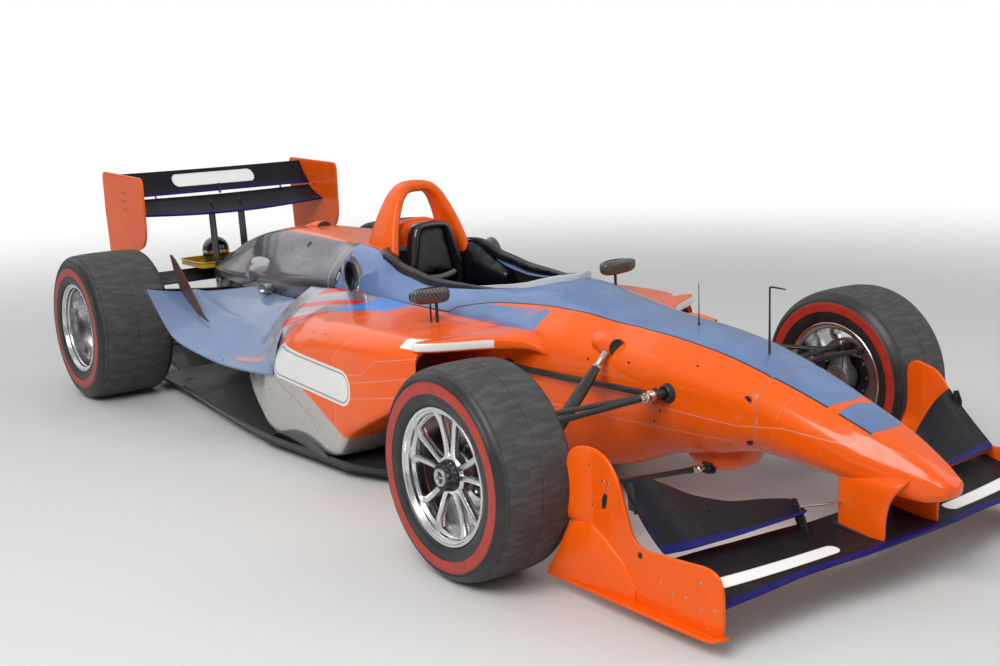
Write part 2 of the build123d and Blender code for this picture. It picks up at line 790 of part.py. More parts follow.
def rim(x, y, radius, width, spoke_offset):
    # Outboard is +Y; spoke_offset is the spokes' middle plane from the wheel's
    half = width / 2 - flange_inset
    lip = rim_radius + flange_height
    inside = rim_radius - rim_wall
    profile = [
        (-half, inside),
        (half, inside + 8),
        (half, lip),
        (half - flange_width, lip),
        (half - flange_width, rim_radius),
        (-half + flange_width, rim_radius),
        (-half + flange_width, lip),
        (-half, lip),
    ]
    face = make_face(Polyline(*[(0, across, r) for across, r in profile], close=True))
    barrel = revolve(face, axis=Axis.Y)
    hub_plane = Plane(origin=(0, spoke_offset - 22, 0), x_dir=(1, 0, 0), z_dir=(0, 1, 0))
    wheel = barrel + extrude(hub_plane * Circle(hub_radius), 44)
    # Each spoke is a pair of tapered arms
    spread = 9.0
    for number in range(spoke_count):
        for side in (-1, 1):
            turn = 360.0 / spoke_count * number + side * spread
            root, end = hub_radius - 12, rim_radius - 1
            arm = [(root, -11), (end, -7), (end, 7), (root, 11)]
            face = make_face(Polyline(*arm, close=True))
            plane = Plane(origin=(0, spoke_offset - 14, 0), x_dir=(1, 0, 0), z_dir=(0, 1, 0))
            wheel += extrude(plane * (Rot(0, 0, turn) * face), 26, dir=(0, 1, 0))
    bore = extrude(Plane(origin=(0, spoke_offset - 40, 0), z_dir=(0, 1, 0)) * Circle(hub_bore_radius), 120)
    return Pos(x, y, radius) * (wheel - bore)


def hub(x, y, radius, spoke_offset, inner_end, disc_offset, shaft_end):
    # Spindle, wheel flange, centre nut and brake disc; it turns with the wheel
    flange_y = spoke_offset - 22 - seat_gap

    def turned(start, end, r):
        return rod((0, start, 0), (0, end, 0), r)

    body = turned(flange_y - 12, flange_y, hub_radius)
    body += turned(flange_y - 5, spoke_offset + 50, hub_bore_radius - seat_gap)
    body += turned(spoke_offset + 22 + seat_gap, spoke_offset + 52, 46)
    body += turned(inner_end, flange_y, spindle_radius)
    body += turned(disc_offset - disc_thickness / 2, disc_offset + disc_thickness / 2, disc_radius)
    body += turned(disc_offset, flange_y, hub_radius * 0.8)
    if shaft_end is not None:
        body += turned(shaft_end, inner_end + 5, driveshaft_radius)
    return Pos(x, y, radius) * body


def upright(x, joint_y, axle_z, low_z, high_z, inner_y, outer_y):
    # A tall carrier with the bearing bore in its middle; inner_y and outer_y are its faces
    barrel = rod((x, inner_y, axle_z), (x, outer_y, axle_z), 56)
    post_low, post_high = low_z + 16, high_z - 16
    middle = (inner_y + outer_y) / 2
    post = Pos(x, middle, (post_low + post_high) / 2) * Box(60, outer_y - inner_y, post_high - post_low)
    body = barrel + post
    bore = rod((x, inner_y - 5, axle_z), (x, outer_y + 5, axle_z), spindle_radius + running_fit)
    pins = rod((x, joint_y, low_z - 14), (x, joint_y, high_z + 14), kingpin_radius)
    keep = Pos(x, joint_y, axle_z) * Box(3 * kingpin_radius, 3 * kingpin_radius, 150)
    return body + (pins - keep) - bore


def wishbone(joint, pickups, chord, thickness, eye_radius):
    # Two arms from their inner pickups meet at a short stem that ends in an eye round the joint's pin
    x, y, z = joint
    body = extrude(Plane(origin=(x, y, z - 10)) * Circle(eye_radius), 20)
    fork = (x, y - arm_stem, z)
    body += blade(fork, joint, chord, thickness)
    web = [Vector(*fork)]
    for pickup in pickups:
        body += blade(pickup, fork, chord, thickness)
        web.append(Vector(*fork) + (Vector(*pickup) - Vector(*fork)) * 0.2)
    web_face = make_face(Polyline(*web, close=True))
    body += extrude(web_face, thickness * 0.3, dir=(0, 0, 1), both=True)
    hole = extrude(Plane(origin=(x, y, z - 40)) * Circle(kingpin_radius + running_fit), 80)
    return body - hole


front_centre_y = overall_width / 2 - front_tyre_width / 2
rear_centre_y = overall_width / 2 - rear_tyre_width / 2
front_spoke_offset = 78.0
rear_spoke_offset = 20.0


def caliper(x, face_y, z):
    # A block astride the disc behind the axle, on a bracket from the upright's outer face
    disc_y = face_y + disc_gap + disc_thickness / 2
    slot = disc_thickness + 2 * disc_gap
    width = slot + 2 * caliper_width
    block = Pos(x - disc_radius + 5, disc_y, z) * Box(74, width, 120)
    block -= Pos(x, disc_y, z) * Cylinder(disc_radius + disc_gap, slot, rotation=(90, 0, 0))
    bracket = Pos(x - 75, face_y - 9, z) * Box(130, caliper_width, 60)
    return block + bracket


def front_corner():
    x, z = front_axle_x, front_tyre_radius
    inner, outer = kingpin_y - 28, kingpin_y + 28
    body = upright(x, kingpin_y, z, lower_joint_z, upper_joint_z, inner, outer)
    arm = Pos(x + steering_arm / 2, kingpin_y, steering_arm_z) * Box(steering_arm + 24, 24, 12)
    pin_x = x + steering_arm
    pin = rod((pin_x, kingpin_y, steering_arm_z), (pin_x, kingpin_y, steering_arm_z + 32), 5)
    bore = rod((x, inner - 5, z), (x, outer + 5, z), spindle_radius + running_fit)
    return body + arm + pin + caliper(x, outer, z) - bore


def steering_rack():
    x = ahead_of_front(rack_ahead)
    bar = rod((x, -300, rack_z), (x, 300, rack_z), rack_radius)
    body = bar
    eye_z = steering_arm_z + 6 + seat_gap
    for side in (-1, 1):
        outer = (front_axle_x + steering_arm, side * kingpin_y, eye_z + 10)
        eye = extrude(Plane(origin=(outer[0], outer[1], eye_z)) * Circle(18), 20)
        arm = rod((x, side * 296, rack_z), outer, 9)
        hole = extrude(Plane(origin=(outer[0], outer[1], eye_z - 20)) * Circle(5 + eye_play), 60)
        body += eye + arm - hole
    return body


def steering_wheel():
    # The hand wheel and the column behind it, along one sloping axis
    centre, lower = column_axis()
    axis = (lower - centre).normalized()
    plane = Plane(origin=centre, x_dir=(0, 1, 0), z_dir=axis)
    grip = [(-140, -80), (140, -80), (140, 75), (-140, 75)]
    outline = make_face(FilletPolyline(*grip, radius=45, close=True))
    window = make_face(FilletPolyline((-112, -50), (112, -50), (112, 45), (-112, 45), radius=28, close=True))
    body = extrude(plane * outline, 13, both=True) - extrude(plane * window, 30, both=True)
    body += extrude(plane * Rectangle(240, 44), 9, both=True)
    body += extrude(plane * Circle(column_radius), (lower - centre).length)
    return body


front_wing = front_wing_main()
tub_solid = tub()
nose = nose_cone()
gear_case = gearbox()
rear_wing = whole_span(REAR_MAIN, 22.0, 16.0)
pod = sidepod()
cover = engine_cover()
tray = gearbox_tray() - gear_case
PIECES = {
    "tub": tub_solid,
    "nose_cone": nose,
    "front_wing_main": front_wing,
    "cockpit_surround": Compound(cockpit_surround()),
    "headrest": headrest(),
    "seat": seat(),
    "roll_hoop": largest(roll_hoop() - tub_solid),
    "engine_cover": cover,
    "undertray": undertray(),
    "engine": engine(),
    "gearbox": gear_case,
    "gearbox_tray": largest(tray),
    "gearbox_dome": gearbox_dome(),
    "rear_wing_main": rear_wing,
    "rear_wing_flap": whole_span(REAR_FLAP, 14.0, 14.0),
    "rear_beam_wing": whole_span(BEAM, 16.0, 12.0),
    "antennas": Compound([largest(piece - tub_solid) for piece in antennas()]),
    "steering_rack": steering_rack(),
    "steering_wheel": steering_wheel(),
}
for name, shape in PIECES.items():
    save(name, shape)

wall_depth = 12.0
upper_front = wishbone(
    (front_axle_x, kingpin_y, upper_joint_z),
    [(ahead_of_front(a), tub_side(a) - wall_depth, z) for a, z in front_upper_pickups],
    34, 14, 24,
)
lower_y = (keel_half, tub_side(front_lower_pickups[1][0]))
lower_front = wishbone(
    (front_axle_x, kingpin_y, lower_joint_z),
    [(ahead_of_front(a), y - wall_depth, z) for (a, z), y in zip(front_lower_pickups, lower_y)],
    34, 14, 24,
)
upper_rear = wishbone(
    (rear_axle_x, rear_joint_y, rear_upper_joint_z),
    [(ahead_of_rear(a), gearbox_side(a) - wall_depth, z) for a, z in rear_upper_pickups],
    34, 14, 24,
)
lower_rear = wishbone(
    (rear_axle_x, rear_joint_y, rear_lower_joint_z),
    [(ahead_of_rear(a), gearbox_side(a) - wall_depth, z) for a, z in rear_lower_pickups],
    34, 14, 24,
)
rear_upright = upright(
    rear_axle_x, rear_joint_y, rear_tyre_radius, rear_lower_joint_z, rear_upper_joint_z,
    rear_joint_y - 28, rear_joint_y + 28,
)
rear_upright += caliper(rear_axle_x, rear_joint_y + 28, rear_tyre_radius)
rear_upright -= rod(
    (rear_axle_x, rear_joint_y - 40, rear_tyre_radius), (rear_axle_x, rear_joint_y + 40, rear_tyre_radius),
    spindle_radius + running_fit,
)
front_pushrod = rod(
    (ahead_of_front(pushrod_top[0]), pushrod_top[1] - wall_depth, pushrod_top[2]),
    (ahead_of_front(-6.0), kingpin_y - 66, lower_joint_z + 4),
    11,
)
rear_pushrod = rod(
    (ahead_of_rear(180.0), gearbox_side(180.0) - wall_depth, 395.0),
    (ahead_of_rear(0.0), rear_joint_y - 66, rear_lower_joint_z + 4),
    11,
)
pairs = {
    "nose_pylons": nose_pylon() - front_wing - nose,
    "front_wing_flaps": front_wing_flap(),
    "wheel_fairings": wheel_fairing() - cover - pod,
    "rear_wing_struts": rear_wing_strut() - gear_case - rear_wing - tray,
    "mirrors": mirror_unit() - pod,
    "front_upper_wishbones": upper_front - tub_solid,
    "front_lower_wishbones": lower_front - tub_solid,
    "rear_upper_wishbones": upper_rear - gear_case,
    "rear_lower_wishbones": lower_rear - gear_case,
    "front_pushrods": front_pushrod - tub_solid - lower_front,
    "rear_pushrods": rear_pushrod - gear_case - lower_rear,
    "rear_uprights": rear_upright,
}
for name, shape in pairs.items():
    piece = largest(shape)
    save(name, Compound([piece, mirrored(piece)]))

front_disc = kingpin_y + 28 + disc_gap + disc_thickness / 2 - front_centre_y
rear_disc = rear_joint_y + 28 + disc_gap + disc_thickness / 2 - rear_centre_y
sided = {
    "front_endplate": front_endplate(),
    "sidepod": pod,
    "rear_endplate": rear_endplate(),
    "front_upright": front_corner(),
    "front_tyre": tyre(front_axle_x, front_centre_y, front_tyre_radius, front_tyre_width),
    "front_rim": rim(front_axle_x, front_centre_y, front_tyre_radius, front_tyre_width, front_spoke_offset),
    "front_hub": hub(
        front_axle_x, front_centre_y, front_tyre_radius, front_spoke_offset,
        kingpin_y - 28 - front_centre_y, front_disc, None,
    ),
    "rear_tyre": tyre(rear_axle_x, rear_centre_y, rear_tyre_radius, rear_tyre_width),
    "rear_rim": rim(rear_axle_x, rear_centre_y, rear_tyre_radius, rear_tyre_width, rear_spoke_offset),
    "rear_hub": hub(
        rear_axle_x, rear_centre_y, rear_tyre_radius, rear_spoke_offset,
        rear_joint_y - 28 - rear_centre_y, rear_disc, output_half + seat_gap - rear_centre_y,
    ),
}
for name, shape in sided.items():
    save(name + "_left", shape)
    save(name + "_right", mirrored(shape))
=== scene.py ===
import bmesh
import bpy
import json
import math
import numpy as np
from mathutils import Matrix


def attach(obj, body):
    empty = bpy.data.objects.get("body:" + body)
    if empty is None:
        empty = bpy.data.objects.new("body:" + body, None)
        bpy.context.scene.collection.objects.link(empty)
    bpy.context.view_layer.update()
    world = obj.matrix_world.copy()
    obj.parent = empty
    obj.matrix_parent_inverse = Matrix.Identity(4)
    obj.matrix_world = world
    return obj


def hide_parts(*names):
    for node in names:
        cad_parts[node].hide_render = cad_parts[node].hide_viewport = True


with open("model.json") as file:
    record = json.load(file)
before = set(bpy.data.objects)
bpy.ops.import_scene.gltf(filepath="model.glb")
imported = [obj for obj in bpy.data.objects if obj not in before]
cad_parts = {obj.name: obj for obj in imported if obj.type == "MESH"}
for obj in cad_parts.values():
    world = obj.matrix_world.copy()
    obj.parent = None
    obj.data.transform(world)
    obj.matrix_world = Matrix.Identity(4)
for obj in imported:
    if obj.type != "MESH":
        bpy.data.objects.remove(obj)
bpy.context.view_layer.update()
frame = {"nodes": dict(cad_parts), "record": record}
nodes = frame["nodes"]
frontAxle, rearAxle = 1.353, -1.707
print("frame loaded")


# ---- Camera, floor and light
camera = {"place": (4.4494, -3.0168, 1.4944), "azimuth": 53.845, "elevation": 11.454, "roll": -2.085, "lens": 47.83}
studio = {
    "floorColour": (.62, .62,
                    .61), "floorClear": 3.4, "floorWhite": 9.0, "floorReach": 60.0, "skyLow": .3, "skyHigh": .6,
    "lamps": [  # name, power, place, size
        ("keyLight", 320, (3.0, -4.5, 5.0), 3.5), ("fillLight", 110, (4.5, 5.0, 4.0), 5.5),
        ("rearLight", 85, (-5.5, -1.0, 4.5), 6.5)],
    "aim": (0, 0, .4),
}


def unit(v):
    # Directions divided by their own length
    return v / np.linalg.norm(v, axis=-1, keepdims=True)


def coords(*parts):
    # Places from their separate coordinates, single numbers among them
    return np.stack(np.broadcast_arrays(*parts), -1)


def stand(name, data, place, right, back):
    # A camera or lamp at its place, its back and right side given
    holder = bpy.data.objects.new(name, data)
    bpy.context.scene.collection.objects.link(holder)
    turn = Matrix(np.column_stack([right, np.cross(back, right), back]).tolist()).to_4x4()
    holder.matrix_world = Matrix.Translation(place) @ turn
    return holder


def setCamera():
    # The fitted camera: its back from azimuth and elevation, its right side turned by the roll
    azimuth, elevation, roll = (math.radians(camera[k]) for k in ("azimuth", "elevation", "roll"))
    back = np.array([math.sin(azimuth) * math.cos(elevation), -math.cos(azimuth) * math.cos(elevation),
                     math.sin(elevation)])
    side = unit(np.cross(-back, (0, 0, 1)))
    right = math.cos(roll) * side + math.sin(roll) * np.cross(side, -back)
    data = bpy.data.cameras.new("photoCamera")
    data.lens, data.sensor_width, data.clip_end = camera["lens"], 36, 200
    bpy.context.scene.camera = stand("photoCamera", data, camera["place"], right, back)


class Wire:
    # A shader socket that takes part in sums: each operator adds its Math node
    def __init__(self, finish, socket):
        self.finish, self.socket = finish, socket

    def sum(self, operation, *terms):
        return self.finish.add("ShaderNodeMath", {"operation": operation}, dict(enumerate((self, *terms))))

    __add__ = __radd__ = lambda self, other: self.sum("ADD", other)
    __sub__ = lambda self, other: self.sum("SUBTRACT", other)
    __rsub__ = lambda self, other: self.finish.add("ShaderNodeMath", {"operation": "SUBTRACT"}, {0: other, 1: self})
    __mul__ = __rmul__ = lambda self, other: self.sum("MULTIPLY", other)
    __truediv__ = lambda self, other: self.sum("DIVIDE", other)
    __pow__ = lambda self, other: self.sum("POWER", other)
    __abs__ = lambda self: self.sum("ABSOLUTE")
    least = lambda self, other: self.sum("MINIMUM", other)
    most = lambda self, other: self.sum("MAXIMUM", other)
    wave = lambda self: self.sum("SINE")
    whole = lambda self: self.sum("FLOOR")
    zigzag = lambda self, height: self.sum("PINGPONG", height)

    def rise(self, start, end):
        # 0 below start, 1 above end, smooth between; start may be the higher one
        if start > end:
            return 1 - self.rise(end, start)
        return self.finish.add("ShaderNodeMapRange", {"interpolation_type": "SMOOTHSTEP"},
                               {"Value": self, "From Min": start, "From Max": end})

    def within(self, start, end):
        # 1 where the value is near nought, 0 past end on both sides
        return 1 - abs(self).rise(start, end)


class Finish:
    # One material: a Principled shader and the nodes that feed it; slot is the record's name for its like
    def __init__(self, name, slot=None, **fixed):
        self.material, self.slot = bpy.data.materials.new(name), slot
        self.material.use_nodes = True
        self.tree = self.material.node_tree
        self.shader = self.tree.nodes["Principled BSDF"]
        self.set(**fixed)

    def feed(self, node, inputs):
        for key, value in inputs.items():
            socket = node.inputs[key]
            if isinstance(value, Wire):
                self.tree.links.new(value.socket, socket)
            elif isinstance(value, (tuple, list)) and len(value) == 3 and len(socket.default_value) == 4:
                socket.default_value = (*value, 1)
            else:
                socket.default_value = value

    def add(self, kind, settings=None, inputs=None, output=0):
        node = self.tree.nodes.new(kind)
        for key, value in (settings or {}).items():
            setattr(node, key, value)
        self.feed(node, inputs or {})
        return Wire(self, node.outputs[output])

    def set(self, **inputs):
        self.feed(self.shader, {key.replace("_", " "): value for key, value in inputs.items()})
        return self

    def places(self, centre=(0, 0, 0)):
        self.where = self.add("ShaderNodeTexCoord", output=3)
        if any(centre):
            self.where = self.add("ShaderNodeMapping", {"vector_type": "TEXTURE"},
                                  {"Vector": self.where, "Location": centre})
        return [self.add("ShaderNodeSeparateXYZ", None, {"Vector": self.where}, k) for k in range(3)]

    def field(self, name):
        return self.add("ShaderNodeAttribute", {"attribute_name": name}, None, 2)

    def noise(self, scale, detail=3, roughness=.5, stretch=None):
        where = self.where
        if stretch:
            where = self.add("ShaderNodeVectorMath", {"operation": "MULTIPLY"}, {0: where, 1: stretch})
        return self.add("ShaderNodeTexNoise", None,
                        {"Vector": where, "Scale": scale, "Detail": detail, "Roughness": roughness})

    def spots(self, scale):
        return self.add("ShaderNodeTexVoronoi", None, {"Vector": self.where, "Scale": scale})

    def mix(self, share, first, second):
        return self.add("ShaderNodeMix", {"data_type": "RGBA"}, {0: share, 6: first, 7: second}, 2)

    def layers(self, colour, *coats):
        # Colours laid over one another, each with its share
        for share, coat in coats:
            colour = self.mix(share, colour, coat)
        return colour

    def bump(self, height, distance, strength=.5):
        return self.set(Normal=self.add("ShaderNodeBump", None,
                                        {"Height": height, "Distance": distance, "Strength": strength}))

    def box(self, u, v, centre, half, radius, tilt=.0):
        # Distance outside a rounded box in two directions, negative inside
        c, s = math.cos(tilt), math.sin(tilt)
        du, dv = u - centre[0], v - centre[1]
        along, over = abs(du * c + dv * s) - (half[0] - radius), abs(dv * c - du * s) - (half[1] - radius)
        return (along.most(0) ** 2 + over.most(0) ** 2) ** .5 + along.most(over).least(0) - radius


def setStage():
    # A floor that fades to white with distance, a sky that brightens upwards and three area lamps
    reach = studio["floorReach"]
    grid = bpy.data.meshes.new("studioFloor")
    grid.from_pydata([(x, y, -.001) for x, y in ((-reach, -reach), (reach, -reach), (reach, reach), (-reach, reach))],
                     [],
                     [(0, 1, 2, 3)])
    floor = bpy.data.objects.new("studioFloor", grid)
    bpy.context.scene.collection.objects.link(floor)
    finish = Finish("paleFloor", Roughness=.75)
    x, y, z = finish.places()
    finish.set(Base_Color=finish.mix(finish.noise(180, 4), studio["floorColour"],
                                     tuple(c * .94 for c in studio["floorColour"])))
    far = ((x * x + y * y) ** .5).rise(studio["floorClear"], studio["floorWhite"])
    eye, mirror = (finish.add("ShaderNodeLightPath", None, None, k) for k in (0, 3))
    white = finish.add("ShaderNodeEmission", None, {"Color": (1, 1, 1), "Strength": 1.0})
    shown = finish.add("ShaderNodeMixShader", None, {0: far * eye.most(mirror * .3),
                                                     1: Wire(finish, finish.shader.outputs[0]), 2: white})
    finish.tree.links.new(shown.socket, finish.tree.nodes["Material Output"].inputs[0])
    grid.materials.append(finish.material)
    world = bpy.data.worlds.new("studioSky")
    world.use_nodes = True
    bpy.context.scene.world = world
    sky = Finish.__new__(Finish)
    sky.tree = world.node_tree
    up = sky.add("ShaderNodeSeparateXYZ", None, {"Vector": sky.add("ShaderNodeTexCoord", output=0)}, 2)
    level = studio["skyLow"] + (studio["skyHigh"] - studio["skyLow"]) * up.rise(.05, .7)
    tint = sky.add("ShaderNodeCombineColor", None, {0: level * .97, 1: level * .99, 2: level})
    sky.feed(world.node_tree.nodes["Background"],
             {"Color": sky.mix(sky.add("ShaderNodeLightPath"), tint, (1, 1, 1)), "Strength": 1.0})
    for name, power, place, size in studio["lamps"]:
        lamp = bpy.data.lights.new(name, "AREA")
        lamp.energy, lamp.size = power, size
        back = np.array(place) - studio["aim"]
        stand(name, lamp, place, unit(np.cross((0, 0, 1), back)), unit(back))
    bpy.context.scene.view_settings.view_transform = "Standard"


setCamera()
setStage()
print("stage set")


# ---- Shapes: station tables, rounded rings, grids
def ease(table, at):
    # Rows of a table at new distances: a cubic through the rows whose slopes never overshoot
    table = np.array(sorted(table), float)
    x, y = table[:, 0], table[:, 1:]
    step = np.diff(x)[:, None]
    slope = np.diff(y, axis=0) / step
    product, total = slope[:-1] * slope[1:], slope[:-1] + slope[1:]
    inner = np.where(product > 0, 2 * product / np.where(product > 0, total, 1), 0)
    tangent = np.vstack([slope[:1], inner, slope[-1:]])
    at = np.clip(at, x[0], x[-1])
    k = np.clip(np.searchsorted(x, at, side="right") - 1, 0, len(x) - 2)
    t = ((at - x[k]) / (x[k + 1] - x[k]))[:, None]
    h = step[k]
    return ((2 * t**3 - 3 * t**2 + 1) * y[k] + (t**3 - 2 * t**2 + t) * h * tangent[k]
            + (3 * t**2 - 2 * t**3) * y[k + 1] + (t**3 - t**2) * h * tangent[k + 1])


def arcs(corners, roundness, steps=6, closed=True, between=3):
    # Each corner of every ring gives way to a quadratic arc set back by a share of its shorter side,
    # with evenly spaced points on the straight run to the next corner
    before, after = np.roll(corners, 1, axis=1), np.roll(corners, -1, axis=1)
    lengthBefore = np.linalg.norm(before - corners, axis=2, keepdims=True) + 1e-9
    lengthAfter = np.linalg.norm(after - corners, axis=2, keepdims=True) + 1e-9
    reach = np.minimum(lengthBefore, lengthAfter) * .5 * np.broadcast_to(roundness, corners.shape[:2])[..., None]
    if not closed:
        reach[:, [0, -1]] = 0
    first = corners + (before - corners) / lengthBefore * reach
    last = corners + (after - corners) / lengthAfter * reach
    t = np.linspace(0, 1, steps)[:, None]
    bend = (1 - t)**2 * first[:, :, None] + 2 * t * (1 - t) * corners[:, :, None] + t**2 * last[:, :, None]
    s = np.linspace(0, 1, between + 2)[1:-1, None]
    run = last[:, :, None] * (1 - s) + np.roll(first, -1, axis=1)[:, :, None] * s
    points = np.concatenate([bend, run], axis=2).reshape(len(corners), -1, corners.shape[2])
    return points if closed else points[:, steps - 1:1 - steps - between]


def rounded(profile, steps=5, share=.8, closed=False):
    # One flat profile with its corners rounded
    return arcs(np.asarray(profile, float)[None], share, steps, closed, 1)[0]


def corners(*pairs):
    # Cross sections from their corners, each given as y and z at every station
    return np.stack([coords(*pair) for pair in pairs], axis=1)


def lift(rings, x):
    # Cross sections (y, z) set at their stations along the car
    return np.concatenate([np.broadcast_to(np.asarray(x)[:, None, None], rings.shape[:2] + (1,)), rings], axis=2)


def spread(start, end, count, crowd=()):
    # Stations from start to end, closer together round some places
    x = np.linspace(start, end, count)
    for place, reach, extra in crowd:
        x = np.append(x, place + reach * np.sin(np.linspace(-1.5, 1.5, extra)))
    return np.unique(np.round(x[(x >= min(start, end)) & (x <= max(start, end))], 5))


def circle(count):
    # One turn in equal steps
    return np.linspace(0, 2 * np.pi, count, endpoint=False)


def oval(count, power=2.0):
    # One turn of the curve |u|^p + |v|^p = 1
    turn = circle(count)
    u, v = np.cos(turn), np.sin(turn)
    size = (abs(u)**power + abs(v)**power)**(-1 / power)
    return u * size, v * size


def carried(centres, first, second, half, power=2.0, count=32):
    # Oval rings with half sizes along two directions, one ring at each centre
    u, v = oval(count, power)
    centres, first, second, half = (np.asarray(k, float) for k in (centres, first, second, half))
    first, second = np.broadcast_to(first, centres.shape), np.broadcast_to(second, centres.shape)
    half = np.broadcast_to(half, (len(centres), 2))
    return (centres[:, None] + first[:, None] * (half[:, :1] * u)[..., None]
            + second[:, None] * (half[:, 1:] * v)[..., None])


forward, leftward, upward = np.eye(3)


class Form:
    # Grids of points gathered into one mesh
    def __init__(self):
        self.points, self.faces, self.marks, self.count = [], [], {}, 0

    def grid(self, points, wrapRows=False, wrapColumns=False, capStart=False, capEnd=False, **marks):
        points = np.asarray(points, float)
        rows, columns = points.shape[:2]
        r, c = np.meshgrid(np.arange(rows if wrapRows else rows - 1),
                           np.arange(columns if wrapColumns else columns - 1),
                           indexing="ij")
        r2, c2 = (r + 1) % rows, (c + 1) % columns
        quads = coords(r * columns + c, r * columns + c2, r2 * columns + c2, r2 * columns + c).reshape(-1, 4)
        self.faces += (quads + self.count).tolist()
        flat = [points.reshape(-1, 3)]
        extra = {key: [np.asarray(value, float).reshape(-1)] for key, value in marks.items()}
        total = rows * columns
        for wanted, row in ((capStart, 0), (capEnd, rows - 1)):
            if wanted:
                ring = row * columns + np.arange(columns)
                flat.append(points[row].mean(axis=0)[None])
                for values in extra.values():
                    values.append(values[0][ring].mean(keepdims=True))
                self.faces += (coords(ring, total, np.roll(ring, -1)) + self.count).tolist()
                total += 1
        self.points.append(np.concatenate(flat))
        for key in set(extra) | set(self.marks):
            values = np.concatenate(extra[key]) if key in extra else np.zeros(total)
            self.marks[key] = np.concatenate([self.marks.get(key, np.zeros(self.count)), values])
        self.count += total
        return self

    def rings(self, points, **marks):
        # A closed skin: every row is a ring, and both ends are capped
        return self.grid(points, wrapColumns=True, capStart=True, capEnd=True, **marks)

    def tube(self, path, radius, sides=12, flat=1.0, level=upward):
        # A round or flattened profile carried along a path
        path = np.asarray(path, float)
        radius = np.broadcast_to(radius, len(path))[:, None, None]
        along = unit(np.gradient(path, axis=0))
        across = unit(np.cross(along, level))
        turn = circle(sides)[None, :, None]
        ring = np.cos(turn) * across[:, None] + np.sin(turn) * np.cross(across, along)[:, None] * flat
        return self.rings(path[:, None] + ring * radius)

    def turned(self, profile, centre, axis=leftward, sides=32, closed=False, caps=True):
        # Rings of a profile (distance along the axis, radius) turned round the axis
        profile, axis = np.asarray(profile, float), unit(np.asarray(axis, float))
        first = unit(np.cross(axis, upward if abs(axis[2]) < .9 else forward))
        turn = circle(sides)[None, :, None]
        ring = np.cos(turn) * first + np.sin(turn) * np.cross(axis, first)
        points = np.asarray(centre) + profile[:, None, :1] * axis + profile[:, None, 1:] * ring
        return self.grid(points, closed, True, caps and not closed, caps and not closed)

    def bolts(self, places, axis, radius, height, sides=6):
        for place in places:
            self.turned([(0, radius), (height * .75, radius), (height, radius * .8)], place, axis, sides)
        return self

    def slab(self, outline, middle, thick, edge=.002, flat="xz"):
        # A flat plate from its outline: two faces and a chamfered rim
        outline = np.asarray(outline, float)
        inset = shrink(outline, edge)
        order = [("xyz".index(k)) for k in flat] + [3 - sum("xyz".index(k) for k in flat)]
        layers = np.zeros((4, len(outline), 3))
        for layer, shape, offset in zip(layers, (inset, outline, outline, inset),
                                        (-thick / 2, edge - thick / 2, thick / 2 - edge, thick / 2)):
            layer[:, order[:2]], layer[:, order[2]] = shape, middle + offset
        ring = np.arange(self.count, self.count + len(outline))
        self.grid(layers, wrapColumns=True)
        self.faces += [ring[::-1].tolist(), (ring + 3 * len(outline)).tolist()]
        return self

    def piece(self, name, finish, body="chassis", slot=None, stands=(), thick=.0, offset=-1, bevel=.0, sharp=40,
              merge=2e-5):
        mesh = bpy.data.meshes.new(name)
        mesh.from_pydata(np.concatenate(self.points).tolist(), [], self.faces)
        for key, values in self.marks.items():
            mesh.attributes.new(key, "FLOAT", "POINT").data.foreach_set("value", values.astype(np.float32))
        made = bpy.data.objects.new(name, mesh)
        bpy.context.scene.collection.objects.link(made)
        tidy(mesh, merge)
        if thick:
            wall = made.modifiers.new("wall", "SOLIDIFY")
            wall.thickness, wall.offset = thick, offset
        if bevel:
            edge = made.modifiers.new("edge", "BEVEL")
            edge.width, edge.segments, edge.limit_method = bevel, 2, "ANGLE"
        if thick or bevel:
            tidy(settled(made), 1e-6)
        made.data.shade_smooth()
        made.data.set_sharp_from_angle(angle=math.radians(sharp))
        made.data.materials.clear()
        made.data.materials.append(finish.material)
        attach(made, body)
        if stands:
            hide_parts(*stands)
        return made


def settled(made):
    # The mesh that a piece's modifiers give takes the place of its own
    bpy.context.view_layer.update()
    solid = bpy.data.meshes.new_from_object(made.evaluated_get(bpy.context.evaluated_depsgraph_get()))
    made.modifiers.clear()
    made.data = solid
    return solid


def tidy(mesh, distance):
    # Close points merged, faces of no size dissolved, normals turned outwards
    form = bmesh.new()
    form.from_mesh(mesh)
    bmesh.ops.remove_doubles(form, verts=form.verts, dist=distance)
    bmesh.ops.dissolve_degenerate(form, edges=form.edges, dist=1e-7)
    bmesh.ops.recalc_face_normals(form, faces=form.faces)
    form.to_mesh(mesh)
    form.free()


def shrink(outline, amount):
    # The outline moved inwards by an amount
    side = np.roll(outline, -1, axis=0) - np.roll(outline, 1, axis=0)
    side /= np.linalg.norm(side, axis=1, keepdims=True) + 1e-12
    area = np.sum(outline[:, 0] * np.roll(outline[:, 1], -1) - np.roll(outline[:, 0], -1) * outline[:, 1])
    return outline + coords(-side[:, 1], side[:, 0]) * np.sign(area) * amount


def both(make):
    # The same shape on the right and on the left
    for side, sign in (("right", -1), ("left", 1)):
        make(side, sign)


# ---- Finishes
paint = {"orange": (.92, .13, .004), "orangeDeep": (.88, .095, .002), "greyBlue": (.122, .2, .395),
         "line": (.02, .022, .03), "pin": (.62, .42, .4), "white": (.82, .82, .8), "red": (.72, .02, .02),
         "blue": (.04, .22, .72), "yellow": (.62, .4, .012)}


def lacquer(finish, specular):
    # The clear coat's constants
    return finish.set(Coat_Roughness=.08, Specular_IOR_Level=specular)


